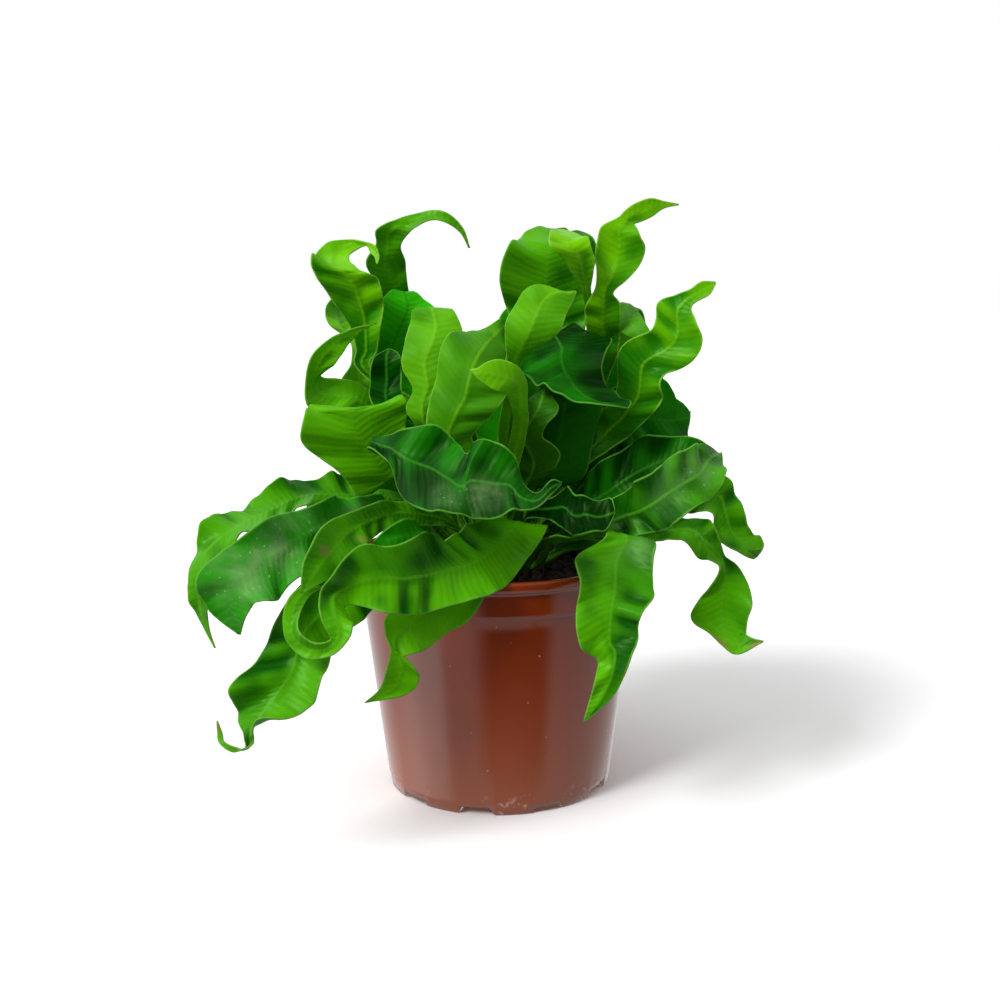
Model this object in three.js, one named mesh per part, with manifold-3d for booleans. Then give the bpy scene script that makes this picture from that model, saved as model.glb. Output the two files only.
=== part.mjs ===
// Potted bird's-nest fern: a red-brown nursery pot, potting mix, the crown and one solid for each frond.
// Millimetres, +Z up. The origin is the middle of the pot's base, on the surface that the pot stands on.
// The viewer of the plant's front looks along +Y, so -Y is the front and +X the right.
import * as THREE from 'three';
import { mergeVertices } from 'three/addons/utils/BufferGeometryUtils.js';
import Module from 'manifold-3d';

const wasm = await Module();
wasm.setup();

// Pot
const lipRadius = 60;
const lipTop = 96.6;
const lipBottom = 92.4;
const bandRadius = 56.8;
const bandBottom = 81.8;
const bandStep = 1;
const footRadius = 45.9;
const wall = 1.4;
const footRing = 4;
const footRise = 3.2;
const basePad = 31;
const notchWidth = 13;
const notchHeights = [3, 1.6];
const notchCount = 10;
const notchStart = -101.6;
const drainRadius = 36.5;
const drainBore = 3.2;
const drainCount = 6;
const potSides = 32;

// Potting mix and crown
const seat = 0.3;
const soilTop = 85;
const soilFlat = 20;
const soilBump = 1.6;
const crownRadius = 19;
const crownTop = 104;

// Fronds
const blade = 0.8;
const stalkExtra = 1.5;
const stalkFade = 20;
const ribDepth = 0.7;
const gutter = 0.16;
const slant = 0.5;
const stepLength = 8.4;
const farStepLength = 9.8;
const broadSteps = [-1, -0.5, 0, 0.5, 1];
const narrowSteps = [-1, 0, 1];
const narrowHalf = 8;
const rootLength = 9;

// The crown carries four rings of stalks. radius and height place a stalk's root, rise is its slope in
// degrees and half its half-width.
const rings = {
  low: { radius: 15, height: 91, rise: 26, half: 1.9 },
  between: { radius: 12.8, height: 94.2, rise: 38, half: 1.6 },
  middle: { radius: 10.4, height: 97, rise: 50, half: 1.6 },
  high: { radius: 7.2, height: 100, rise: 72, half: 1.3 },
};

// Each frond grows from a ring at an azimuth (degrees from +X towards +Y), then passes its stations.
// A station is the midrib's x, y, z and then the x, y, z of the vector from the midrib to the edge on the
// frond's right, seen from above with the tip ahead. waves counts the waves of the edge, ripple is their
// height.
const fronds = {
  front_sweep: { ring: 'low', azimuth: 281, green: 0x2f8f1c, waves: 5, ripple: 2.9, stations: [
    [9, -29, 114, -10.5, 3, 1.5],
    [1, -44, 109, -11.5, 4, 5.5],
    [-8, -60, 106, -9, 6, 9],
    [-19, -72, 105, -6, 4, 12.5],
    [-31, -83, 105, -4.5, 3, 12],
    [-43, -89, 106, -3.5, 1, 11.5],
    [-55, -92, 102, -4, -1, 5],
    [-56, -96, 98, -5.5, -0.5, 2.5],
    [-55, -100, 94, -5.5, 0, 1],
    [-54, -102, 89, -3.5, 0, 0.7],
    [-57, -102, 85, -0.6, 0, 2.5],
    [-64, -101, 84, 1, 0, 3],
    [-70, -99, 88, 2.5, 0, 2.5],
    [-71, -96, 94, 3, 0, 0.5],
    [-69, -93, 100, 3, 0, -0.7],
    [-65, -90, 103, 1.5, 0, -1.5],
    [-60, -88, 103, 0.3, 0, -0.3]] },
  lower_left_hang: { ring: 'low', azimuth: 244, green: 0x3a9a22, waves: 6, ripple: 2.9, stations: [
    [-22, -40, 105, -4, 3, 3],
    [-49, -67, 100, -6, 1, 8.5],
    [-62, -79, 92, -8, 1, 8.5],
    [-69, -85, 85, -10, 1, 5.5],
    [-72, -92, 75, -12, 1.5, 2.5],
    [-78, -97, 67, -15, 3, 1],
    [-83, -99, 60, -9.5, 3, 0.2],
    [-86, -100, 56, -3, 2, -3],
    [-87, -98, 49, -1, 1, -1.5],
    [-92, -97, 47, 0.5, 0, 1],
    [-97, -95, 49, 1, 0, 0.3],
    [-98, -93, 52, 1, 0, -0.3],
    [-99, -92, 56, 0.3, 0, 0.2]] },
  left_arch_front: { ring: 'low', azimuth: 209, green: 0x1d7a1a, waves: 6, ripple: 2.9, stations: [
    [-31, -20, 113, -1, 5, 3.5],
    [-49, -46, 121, -2, 5, 6],
    [-63, -64, 119, -1.5, 4, 9.5],
    [-74, -79, 115, -4.5, 3, 10.5],
    [-84, -88, 110, -7.5, 3, 10],
    [-93, -93, 103, -10, 1.5, 4.5],
    [-93, -93, 95, -6.5, 1.5, 0],
    [-90, -91, 87, -0.5, 0, 0]] },
  left_arch_back: { ring: 'low', azimuth: 187, green: 0x3c9c28, waves: 6, ripple: 2.6, stations: [
    [-34, -6, 117, 0, 6, 3],
    [-57, -22, 125, -2, 10, 3.5],
    [-74, -35, 127, -2, 11, 5],
    [-85, -47, 124, -4, 10, 4],
    [-97, -57, 119, -5, 9, 3],
    [-106, -63, 112, -5, 6, 3.5],
    [-109, -66, 102, -4.5, 4, 0],
    [-109, -66, 91, -3, 2, 0],
    [-107, -65, 82, -1.2, 0.5, 0],
    [-104, -66, 75, -0.4, 0, 0]] },
  left_broad: { ring: 'middle', azimuth: 200, green: 0x2f8f1c, waves: 4, ripple: 1.6, stations: [
    [-23, -10, 119, 3, 2, 2.5],
    [-36, -15, 131, 9, 2, 6],
    [-41, -26, 129, 13, 4, 4.5],
    [-47, -32, 141, 14.5, 5, 4.5],
    [-53, -36, 152, 19.5, 4.5, 3.5],
    [-54, -36, 160, 19, 3.5, 1.5],
    [-54, -32, 162, 17.5, 2.5, 0.5],
    [-53, -28, 161, 15.5, 2, 0.2],
    [-54, -23, 157, 0.4, 0, 0]] },
  left_short_curl: { ring: 'middle', azimuth: 228, green: 0x46a82a, waves: 4, ripple: 1.4, stations: [
    [-22, -30, 116, -1, 3, 3],
    [-38, -52, 122, -1, 3, 4.5],
    [-50, -73, 121, -3.5, 0, 5.5],
    [-57, -87, 116, -6, -1.5, 5.5],
    [-62, -93, 110, -4.5, -1.5, 3],
    [-67, -96, 103, -0.5, 0, 0]] },
  front_left_dark: { ring: 'low', azimuth: 227, green: 0x1d7a1a, waves: 3, ripple: 1.2, stations: [
    [-23, -25, 107, -2, 2, 1],
    [-29, -38, 111, -2, 2, 1],
    [-26, -57, 116, -3, 2, 3],
    [-33, -65, 116, -2, 2, 5.5],
    [-39, -68, 115, -1.5, 1, 4],
    [-46, -70, 112, -0.5, 0, 1.5],
    [-51, -71, 111, 0, 0.3, 0.2]] },
  left_fold_over: { ring: 'between', azimuth: 214, green: 0x257f1e, waves: 5, ripple: 2.6, stations: [
    [-25, -19, 112, -1, 1, -0.5],
    [-33, -29, 128, -1.5, 0, -1.5],
    [-40, -44, 144, -2, -1.5, -2.5],
    [-46, -53, 149, 0.1, -4, -2],
    [-38, -62, 148, -1, -4, -4.5],
    [-31, -68, 145, -4, -7, -9.5],
    [-23, -73, 143, -4, -10, -13],
    [-17, -78, 140, -3, -10, -12],
    [-13, -82, 138, -2, -8.5, -9.5],
    [-9, -82, 140, -1.5, -9, -11],
    [-1, -82, 139, -2, -8.5, -11],
    [5, -84, 138, -2, -6.5, -9.5],
    [9, -87, 134, -1, -4, -4.5],
    [14, -88, 133, -0.6, -2.5, -2.5],
    [19, -86, 137, -0.3, -2, -2.5],
    [23, -82, 138, 0, 0, -0.5]] },
  left_hook: { ring: 'middle', azimuth: 172, green: 0x2c8a20, waves: 4, ripple: 1.6, stations: [
    [-25, 3, 127, 3, 2.5, 3],
    [-43, 0, 145, 3, 3, 3.5],
    [-55, -7, 160, 2, 5, 4],
    [-64, -11, 162, 2, 6, 6.5],
    [-71, -14, 165, 3, 5, 5.5],
    [-70, -14, 171, 5, 3, 2.5],
    [-67, -14, 177, 4.5, 2, -1.5],
    [-62, -13, 182, 2.5, 1.5, -2.5],
    [-58, -12, 185, 1.5, 1, -2],
    [-53, -9, 188, 0.7, 0.5, -1],
    [-47, -6, 190, 0.3, 0, 0.3]] },
  left_back_curl: { ring: 'middle', azimuth: 148, green: 0x3c9c28, waves: 3, ripple: 1.2, stations: [
    [-27, 16, 126, 3, 4, 2],
    [-51, 20, 156, 8, 3, 0],
    [-55, 17, 164, 9, 3, -1],
    [-55, 16, 172, 4.5, 2.5, -1.5],
    [-57, 17, 181, 3, 1, -0.7],
    [-63, 16, 188, 5, 1, -0.5],
    [-64, 14, 195, 5, 0.5, -0.5],
    [-63, 10, 199, 3, 0, -0.4],
    [-62, 4, 200, 0.3, 0, 0]] },
  upper_left_funnel: { ring: 'high', azimuth: 172, green: 0x4cae22, waves: 4, ripple: 1.6, stations: [
    [-12, 2, 130, 2, 3, 1],
    [-25, 5, 150, 3.5, 2.5, 0],
    [-52, 4, 170, 3, -0.5, 0],
    [-52, 3, 179, 4.5, 0, -0.4],
    [-52, 2, 188, 6.5, 0, 0.1],
    [-54, 0, 198, 10.5, 0, -1],
    [-57, -3, 206, 11.5, 0, -0.7],
    [-62, -4, 212, 10.5, 0, -1.5],
    [-65, 4, 215, 7.5, -0.5, -2.5],
    [-63, 12, 219, 4.5, -0.5, -3],
    [-57, 14, 221, 2, -0.5, -2],
    [-52, 12, 221, 0.6, 0, -1],
    [-49, 9, 219, -1, 0, -1.5],
    [-47, 7, 216, -1, 0, -0.4],
    [-47, 5, 213, -0.3, 0, 0]] },
  upper_left_horn: { ring: 'middle', azimuth: 124, green: 0x2f8f1c, waves: 4, ripple: 1.3, stations: [
    [-18, 26, 130, 5, 2, 0.5],
    [-31, 36, 158, 7, 2, 1],
    [-39, 33, 182, 6.5, 1, 1],
    [-41, 22, 202, 5.5, 1, 1.5],
    [-44, 16, 213, 8, 2, -0.5],
    [-43, 14, 220, 5, 0, -1],
    [-42, 11, 225, 5.5, 1, -2],
    [-35, 9, 229, 3.5, -1, -2],
    [-26, 9, 232, 1, -1, -2],
    [-19, 8, 231, -0.2, -0.5, -2],
    [-13, 9, 226, -0.6, 0, -1],
    [-10, 10, 219, -0.4, 0, 0]] },
  back_left_lobe: { ring: 'high', azimuth: 140, green: 0x1d7a1a, waves: 4, ripple: 1.8, stations: [
    [-13, 12, 128, 4, 3, 0],
    [-24, 17, 148, 6, 2, 0],
    [-44, 15, 171, 6, 1, -0.1],
    [-41, 13, 182, 7.5, 2, -0.6],
    [-36, 11, 192, 10.5, 3, -1.5],
    [-35, 12, 197, 10.5, 3.5, -2],
    [-36, 14, 200, 7.5, 2.5, -1],
    [-37, 16, 202, 4.5, 2, -0.5],
    [-37, 21, 201, 0.4, 0, 0]] },
  inner_left: { ring: 'high', azimuth: 204, green: 0x1a6e18, waves: 3, ripple: 1.6, stations: [
    [-12, -4, 126, 3, 2, 1],
    [-26, -9, 144, 5, 1, 1],
    [-42, -12, 158, 7, 0, -0.1],
    [-43, -10, 169, 6.5, 0, 1],
    [-43, -10, 175, 6, 0, 1],
    [-43, -8, 178, 4.5, 0, 0.7],
    [-42, -6, 180, 0.4, 0, 0]] },
  middle_left_tall: { ring: 'high', azimuth: 235, green: 0x5fb41e, waves: 4, ripple: 1.4, stations: [
    [-9, -12, 124, -3, 1, 0],
    [-16, -24, 142, -5, 1, 0],
    [-26, -37, 154, -5, 1, -0.1],
    [-27, -38, 161, -7, 1.5, -1],
    [-25, -38, 168, -6.5, 1.5, -1],
    [-26, -36, 176, -9, 2, -1.5],
    [-23, -34, 184, -10, 2.5, 0.7],
    [-22, -30, 190, -10.5, 2.5, 1],
    [-24, -26, 195, -8, 1.5, -0.2],
    [-26, -18, 193, -4, 0.5, -0.2],
    [-26, -12, 192, -0.4, 0, 0]] },
  middle_bright: { ring: 'middle', azimuth: 253, green: 0x6cc01c, waves: 4, ripple: 2.1, stations: [
    [-9, -26, 122, -4, 1, 0],
    [-13, -42, 141, -7, 2, 1],
    [-17, -49, 152, -8, 1, 2.5],
    [-11, -50, 165, -11.5, 2, 5.5],
    [-8, -47, 176, -12.5, 3, 7.5],
    [-4, -38, 182, -8, 3.5, 6],
    [0, -26, 186, -3, 2, 3.5],
    [3, -18, 189, -0.4, 2, 3],
    [4, -12, 188, -0.3, 0, 0.3]] },
  middle_shell: { ring: 'high', azimuth: 285, green: 0x66bc1c, waves: 3, ripple: 1.8, stations: [
    [4, -14, 130, -2.5, 0, 0],
    [5, -24, 150, -4, 0, 0],
    [7, -34, 173, -2.5, 0, -0.4],
    [10, -44, 183, -6, 0, 0.6],
    [14, -48, 191, -10, 2, 2.5],
    [18, -47, 199, -8, 3, 3.5],
    [23, -46, 202, -5.5, 2, 3],
    [27, -46, 202, -2.5, 0.5, 1],
    [30, -46, 203, -0.2, 0, 0.3]] },
  middle_flap: { ring: 'high', azimuth: 260, green: 0x66bc1c, waves: 3, ripple: 1.2, stations: [
    [3, -24, 124, -3, 0, 0],
    [9, -40, 152, -3, 0, 0],
    [9, -50, 161, -3, -1, 0.1],
    [8, -56, 168, -3.5, -1.5, -2],
    [6, -60, 172, -2, -1.5, -4.5],
    [1, -63, 174, -1, -1, -5.5],
    [-3, -64, 175, -0.4, -0.5, -4],
    [-6, -64, 175, 0, 0, -2],
    [-9, -62, 176, 0, 0, -0.3]] },
  upper_middle_dome: { ring: 'high', azimuth: 70, green: 0x3f9f1e, waves: 4, ripple: 2.3, stations: [
    [6, 10, 135, 5, 0, 0],
    [12, 13, 160, 9, 0, 0],
    [20, 10, 185, 15, 1, -0.2],
    [21, 6, 197, 16.5, 2, 0.4],
    [21, 2, 208, 18, 1.5, -0.2],
    [22, 2, 217, 18, 2, -0.6],
    [23, 6, 222, 15.5, 2, -0.5],
    [23, 14, 225, 11, 1.5, -0.5],
    [24, 21, 227, 6, 1, -0.2],
    [24, 29, 226, 0.4, 0, 0]] },
  upper_middle_curl: { ring: 'high', azimuth: 5, green: 0x55b022, waves: 3, ripple: 1.3, stations: [
    [20, 4, 140, 1, -3, 0],
    [30, 6, 165, 2.5, -2, 0],
    [39, 6, 184, 2, 0, -0.2],
    [38, 0, 195, 2, 0.5, -0.4],
    [36, -8, 202, 2, 1, 0.1],
    [34, -16, 209, 4, 1.5, 0.5],
    [33, -20, 214, 6, 2.5, -0.1],
    [30, -22, 219, 8, 4, 0.1],
    [29, -18, 223, 7.5, 3.5, -0.2],
    [27, -8, 225, 4.5, 2, -0.4],
    [27, 0, 226, 0.3, 0, 0]] },
  right_spiral_tall: { ring: 'high', azimuth: 35, green: 0x52b01c, waves: 4, ripple: 1.6, stations: [
    [28, 5, 141, 3, -1, -1],
    [40, 5, 164, 5, 1, -1],
    [43, 4, 179, 6.5, -0.5, -0.4],
    [43, -3, 188, 7, 0, -0.1],
    [43, -8, 196, 7, 0, 0.3],
    [43, -10, 202, 3.5, -0.5, -1],
    [46, -10, 208, 6, -0.5, -1.5],
    [48, -8, 214, 9, -0.5, -1],
    [49, -8, 220, 9.5, 0, -1],
    [49, -8, 225, 7.5, 0.5, -2],
    [52, -6, 229, 3, 0.5, -1.5],
    [53, -6, 230, 2, 0.5, -2.5],
    [57, -4, 232, 1.5, 0.5, -3.5],
    [62, -3, 234, 0.6, 0, -3.5],
    [67, -1, 235, 0.2, 0, -1.5],
    [73, 0, 235, 0, 0, -0.3]] },
  right_spiral_low: { ring: 'middle', azimuth: 349, green: 0x62b820, waves: 4, ripple: 1.8, stations: [
    [26, -4, 126, 1, -4, -2],
    [42, -9, 144, 4, -5, -4],
    [55, -17, 160, 9, -3, -1.5],
    [57, -19, 174, 8.5, -5, -4.5],
    [66, -21, 180, 9, -5, -4.5],
    [70, -22, 186, 9, -4, -2.5],
    [70, -21, 194, 7.5, -3, -3.5],
    [73, -20, 198, 2.5, -2, -3],
    [76, -21, 200, 1, -1, -2.5],
    [81, -21, 203, 1.5, -1, -2.5],
    [85, -20, 205, 0.2, 0, -0.4]] },
  right_shelf: { ring: 'high', azimuth: 335, green: 0x1b7418, waves: 4, ripple: 2.1, stations: [
    [12, -4, 138, -4, 0, 0],
    [18, 4, 166, -8, -1, 0],
    [20, 1, 188, -13, -3, 0],
    [26, -17, 183, -18, -5, -1],
    [26, -24, 177, -17, -6, -2],
    [29, -31, 170, -13, -5, -2],
    [34, -39, 165, -12, -3, -0.3],
    [43, -45, 162, -7.5, -1, 0.2],
    [49, -47, 160, -0.4, 0, 0]] },
  centre_curl: { ring: 'middle', azimuth: 278, green: 0x2a8420, waves: 3, ripple: 1.3, stations: [
    [10, -20, 124, -4, 0, 0],
    [15, -28, 138, -9, 3, -1],
    [12, -33, 148, -6, 4, -1],
    [17, -33, 158, -7, 4, 0],
    [19, -29, 166, -0.4, 0, 0]] },
  centre_dark: { ring: 'high', azimuth: 310, green: 0x17641a, waves: 3, ripple: 1.8, stations: [
    [11, -8, 124, -2, -1, 0],
    [22, -14, 128, -10.5, 0.5, 0.4],
    [24, -17, 141, -13, 0, 0.7],
    [26, -18, 154, -15.5, -1, 1],
    [27, -18, 161, -13, -2, 1.5],
    [26, -20, 166, -0.4, 0, 0]] },
  right_lobe: { ring: 'middle', azimuth: 327, green: 0x1f7c1c, waves: 4, ripple: 2.1, stations: [
    [27, -15, 113, 1, -3, -5],
    [41, -22, 123, 2, -4, -10],
    [55, -26, 133, 2, -4, -11],
    [68, -28, 139, 1, -3, -8],
    [77, -28, 142, 0, -1, -4],
    [83, -26, 142, 0, 0, -0.5]] },
  inner_right: { ring: 'middle', azimuth: 31, green: 0x1a6e18, waves: 4, ripple: 1.8, stations: [
    [20, 12, 120, 5, 0, -2],
    [32, 18, 139, 11, 0, -5],
    [42, 19, 156, 13, -1, -6],
    [48, 19, 168, 9, -1, -4],
    [52, 21, 178, 0.5, 0, -0.3]] },
  inner_middle: { ring: 'high', azimuth: 105, green: 0x1f7c1c, waves: 4, ripple: 2.1, stations: [
    [1, 14, 130, 8, 0, 0],
    [5, 19, 152, 13, 0, 0],
    [8, 22, 172, 15, 1, 0],
    [9, 27, 188, 9, 1, 0],
    [9, 36, 197, 0.5, 0, 0]] },
  right_back_flap: { ring: 'middle', azimuth: 53, green: 0x4aa626, waves: 4, ripple: 1.6, stations: [
    [24, 24, 130, 5, -2, 0],
    [38, 34, 154, 7, -3, 0],
    [57, 25, 170, 8, -1, 0],
    [56, 21, 183, 7, -1, 0],
    [56, 17, 192, 5, 1, -0.1],
    [54, 8, 195, 3.5, 0, -0.6],
    [54, 0, 190, 5, -2, 1],
    [57, -5, 185, 4.5, -1, 1],
    [64, -6, 181, 0.3, 0, 0]] },
  right_dark: { ring: 'middle', azimuth: 10, green: 0x176c18, waves: 5, ripple: 2.6, stations: [
    [28, 2, 116, 1, -3, -2],
    [44, 2, 128, 3, -5, -10],
    [51, 2, 149, 3, -8, -12.5],
    [62, 2, 151, 2, -10, -15],
    [71, 3, 150, 1.5, -9, -14],
    [76, 4, 150, 1, -6, -8.5],
    [79, 7, 150, 0.1, -3, -3],
    [80, 10, 152, 0.3, 0, 0]] },
  right_sheen: { ring: 'low', azimuth: 319, green: 0x2a8424, waves: 5, ripple: 2.6, stations: [
    [24, -24, 108, 0.5, -3, -2],
    [42, -36, 115, 2, -2, -7.5],
    [55, -47, 122, 2.5, -3, -9],
    [65, -53, 130, 5, -3, -9],
    [75, -52, 136, 5, -3, -8],
    [81, -44, 141, 4, -3, -5.5],
    [86, -33, 141, 0.6, 0, 0.4]] },
  right_droop: { ring: 'low', azimuth: 5, green: 0x2f8f24, waves: 5, ripple: 2.1, stations: [
    [36, 2, 108, 0, -2, -3],
    [62, -4, 119, 1, -1, -7.5],
    [86, -14, 122, -4, -2, -7.5],
    [91, -17, 116, -5, -3, -4],
    [93, -19, 108, -6, -3, -3],
    [97, -21, 104, -5, -3, -3],
    [101, -23, 102, -3.5, -3, -4],
    [103, -25, 100, -2, -1, -2],
    [98, -30, 102, -0.4, 0, 0]] },
  right_hang: { ring: 'low', azimuth: 341, green: 0x3a9a26, waves: 5, ripple: 2.3, stations: [
    [34, -10, 103, 0.5, -3, -3.5],
    [73, -21, 109, -4, -3, -4.5],
    [82, -28, 105, -3.5, -4, -4.5],
    [87, -34, 99, -1.5, -2, -2.5],
    [88, -35, 92, -6.5, -1, -3.5],
    [87, -36, 82, -11, 0, -2],
    [87, -37, 76, -10.5, 1, -1],
    [89, -39, 71, -7.5, 1, 0],
    [91, -41, 69, -4.5, -1, -2.5],
    [95, -43, 67, -3, -1, -3],
    [102, -44, 69, -0.2, 0, -0.4]] },
  front_hang: { ring: 'low', azimuth: 300, green: 0x3f9f24, waves: 6, ripple: 2.1, stations: [
    [19, -31, 106, -3, -2, 1],
    [47, -51, 114, -7, -1, 1],
    [44, -62, 106, -14, 0, 1],
    [43, -69, 97, -14, -1, 1.5],
    [41, -74, 89, -12, 0, -0.4],
    [40, -77, 79, -10.5, 1, -2.5],
    [42, -78, 75, -7, 2, -3],
    [41, -79, 68, -5.5, 1, -1],
    [37, -80, 59, -4, 0.5, -0.1],
    [31, -80, 50, -0.4, 0, 0]] },
  front_low: { ring: 'low', azimuth: 262, green: 0x3a9a22, waves: 4, ripple: 1.8, stations: [
    [-6, -44, 101, -4, -1, 0],
    [-3, -57, 101, -3, 1, 1],
    [-14, -65, 92, -3.5, 1, 7],
    [-24, -71, 89, -5.5, 1, 8.5],
    [-34, -75, 83, -5.5, 1, 7],
    [-37, -78, 79, -3, 0.5, 4.5],
    [-35, -79, 75, -3.5, 0, 2],
    [-34, -80, 69, -6, 0, 2],
    [-38, -80, 62, -5, 0, 1],
    [-48, -80, 58, -0.4, 0, 0]] },
  front_crinkle: { ring: 'middle', azimuth: 303, green: 0x1b7418, waves: 4, ripple: 1.4, stations: [
    [13, -20, 116, -1, -2, -3],
    [21, -34, 120, -0.3, -2.5, -4],
    [25, -42, 122, -1, -4, -7.5],
    [29, -47, 120, -1, -4.5, -6.5],
    [33, -50, 121, -0.5, -4.5, -6.5],
    [38, -51, 120, -0.5, -4, -5.5],
    [42, -51, 121, -1, -3, -5.5],
    [44, -53, 122, 0, 0, -0.5]] },
};

// Fronds of the far side fill the rosette all round. Each rises to its crest, arches over and ends low.
const farFronds = {
  far_right_low: { ring: 'low', azimuth: 30, crest: 44, crestHeight: 113, reach: 90, end: 92,
    half: 13, green: 0x2f8f24 },
  far_right: { ring: 'low', azimuth: 55, crest: 42, crestHeight: 125, reach: 94, end: 98,
    half: 14, green: 0x1f7c1c },
  far_middle_right: { ring: 'low', azimuth: 81, crest: 46, crestHeight: 112, reach: 100, end: 84,
    half: 14, green: 0x389822 },
  far_middle_left: { ring: 'low', azimuth: 107, crest: 44, crestHeight: 124, reach: 98, end: 98,
    half: 14, green: 0x2a8420 },
  far_left: { ring: 'low', azimuth: 134, crest: 46, crestHeight: 112, reach: 96, end: 86,
    half: 14, green: 0x3c9c28 },
  far_left_low: { ring: 'low', azimuth: 160, crest: 46, crestHeight: 122, reach: 90, end: 102,
    half: 12, green: 0x257f1e },
  far_upright_right: { ring: 'middle', azimuth: 76, crest: 40, crestHeight: 182, reach: 74, end: 170,
    half: 14, green: 0x46a82a },
  far_upright_left: { ring: 'middle', azimuth: 100, crest: 42, crestHeight: 172, reach: 78, end: 156,
    half: 14, green: 0x319020 },
  back_right: { ring: 'between', azimuth: 42, crest: 42, crestHeight: 138, reach: 84, end: 122,
    half: 12, green: 0x389822 },
  back_middle_right: { ring: 'between', azimuth: 69, crest: 44, crestHeight: 149, reach: 90, end: 118,
    half: 13, green: 0x2a8420 },
  back_middle_left: { ring: 'between', azimuth: 94, crest: 44, crestHeight: 138, reach: 88, end: 122,
    half: 13, green: 0x3c9c28 },
  back_left: { ring: 'between', azimuth: 120, crest: 44, crestHeight: 150, reach: 86, end: 120,
    half: 13, green: 0x257f1e },
  side_left: { ring: 'between', azimuth: 147, crest: 42, crestHeight: 141, reach: 76, end: 124,
    half: 12, green: 0x389822 },
};

function degrees(value) {
  return value * Math.PI / 180;
}

function smooth(from, to, value) {
  const t = Math.min(1, Math.max(0, (value - from) / (to - from)));
  return t * t * (3 - 2 * t);
}

function material(color, roughness) {
  return new THREE.MeshStandardMaterial({ color, roughness, metalness: 0 });
}

// A closed three.js geometry as a solid for cutting, and back.
function solid(geometry) {
  const bare = geometry.toNonIndexed();
  for (const name of Object.keys(bare.attributes)) {
    if (name !== 'position') bare.deleteAttribute(name);
  }
  const merged = mergeVertices(bare, 1e-4);
  const vertProperties = new Float32Array(merged.attributes.position.array);
  const triVerts = new Uint32Array(merged.index.array);
  return new wasm.Manifold(new wasm.Mesh({ numProp: 3, vertProperties, triVerts }));
}

function geometryOf(body) {
  const mesh = body.getMesh();
  const geometry = new THREE.BufferGeometry();
  geometry.setAttribute('position', new THREE.BufferAttribute(new Float32Array(mesh.vertProperties), 3));
  geometry.setIndex(new THREE.BufferAttribute(new Uint32Array(mesh.triVerts), 1));
  return geometry;
}

// A closed profile of [radius, height] pairs turned about the Z axis.
function turned(profile, sides) {
  const points = profile.map(([radius, height]) => new THREE.Vector2(radius, height));
  const geometry = new THREE.LatheGeometry(points, sides);
  geometry.rotateX(Math.PI / 2);
  return geometry;
}

// Root of a frond on its ring: where the stalk starts, the way it leaves and the vector to its right edge.
function rootOf({ ring, azimuth }) {
  const { radius, height, rise, half } = rings[ring];
  const c = Math.cos(degrees(azimuth));
  const s = Math.sin(degrees(azimuth));
  const slope = degrees(rise);
  return {
    start: new THREE.Vector3(radius * c, radius * s, height),
    way: new THREE.Vector3(Math.cos(slope) * c, Math.cos(slope) * s, Math.sin(slope)),
    right: new THREE.Vector3(half * s, -half * c, 0),
  };
}

// Stations of a far frond: up along its azimuth to the crest, over, and down to the tip.
function farStations({ azimuth, crest, crestHeight, reach, end, half }) {
  const c = Math.cos(degrees(azimuth));
  const s = Math.sin(degrees(azimuth));
  const climb = crestHeight - 100;
  const drop = crestHeight - end;
  const marks = [
    [crest * 0.74, 100 + climb * 0.42, 0.45],
    [crest, 100 + climb * 0.8, 0.85],
    [crest + (reach - crest) * 0.33, crestHeight, 1],
    [crest + (reach - crest) * 0.66, crestHeight - drop * 0.22, 0.86],
    [crest + (reach - crest) * 0.9, crestHeight - drop * 0.62, 0.5],
    [reach, end, 0.04],
  ];
  return marks.map(([out, z, width]) => [out * c, out * s, z, half * width * s, -half * width * c, 0]);
}

// The blade's middle surface: a curve through the stations for the midrib, one for the vector to the
// edge, a shallow gutter along the midrib and waves that grow towards the edges.
function frondSurface(frond) {
  const root = rootOf(frond);
  const straight = root.way.clone().multiplyScalar(rootLength).add(root.start);
  const rows = frond.stations.map((row) => new THREE.Vector3(row[0], row[1], row[2]));
  const widths = frond.stations.map((row) => new THREE.Vector3(row[3], row[4], row[5]));
  const midrib = new THREE.CatmullRomCurve3([root.start, straight, ...rows], false, 'catmullrom', 0.5);
  const edge = new THREE.CatmullRomCurve3([root.right, root.right, ...widths], false, 'catmullrom', 0.5);
  midrib.arcLengthDivisions = 400;
  const length = midrib.getLength();

  const middle = (u, v) => {
    const t = midrib.getUtoTmapping(u);
    const point = midrib.getPoint(t);
    const side = edge.getPoint(t);
    const up = side.clone().cross(midrib.getTangent(t)).normalize();
    const half = side.length();
    const live = smooth(0.12, 0.34, u) * (1 - smooth(0.86, 1, u)) * Math.min(1, half / 8);
    const lag = slant * half * Math.abs(v) / length;
    const turn = 2 * Math.PI * frond.waves * (u - lag) + (v < 0 ? 2.3 : 0);
    const wave = frond.ripple * Math.abs(v) ** 1.6 * Math.sin(turn) * live;
    const dip = gutter * half * (v * v - 1) * smooth(0.1, 0.25, u);
    const spread = 1 + 0.07 * Math.cos(turn) * live;
    return point.addScaledVector(side, v * spread).addScaledVector(up, wave + dip);
  };
  const widest = Math.max(...widths.map((width) => width.length()));
  return { middle, length, across: frond.plain || widest < narrowHalf ? narrowSteps : broadSteps };
}

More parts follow.
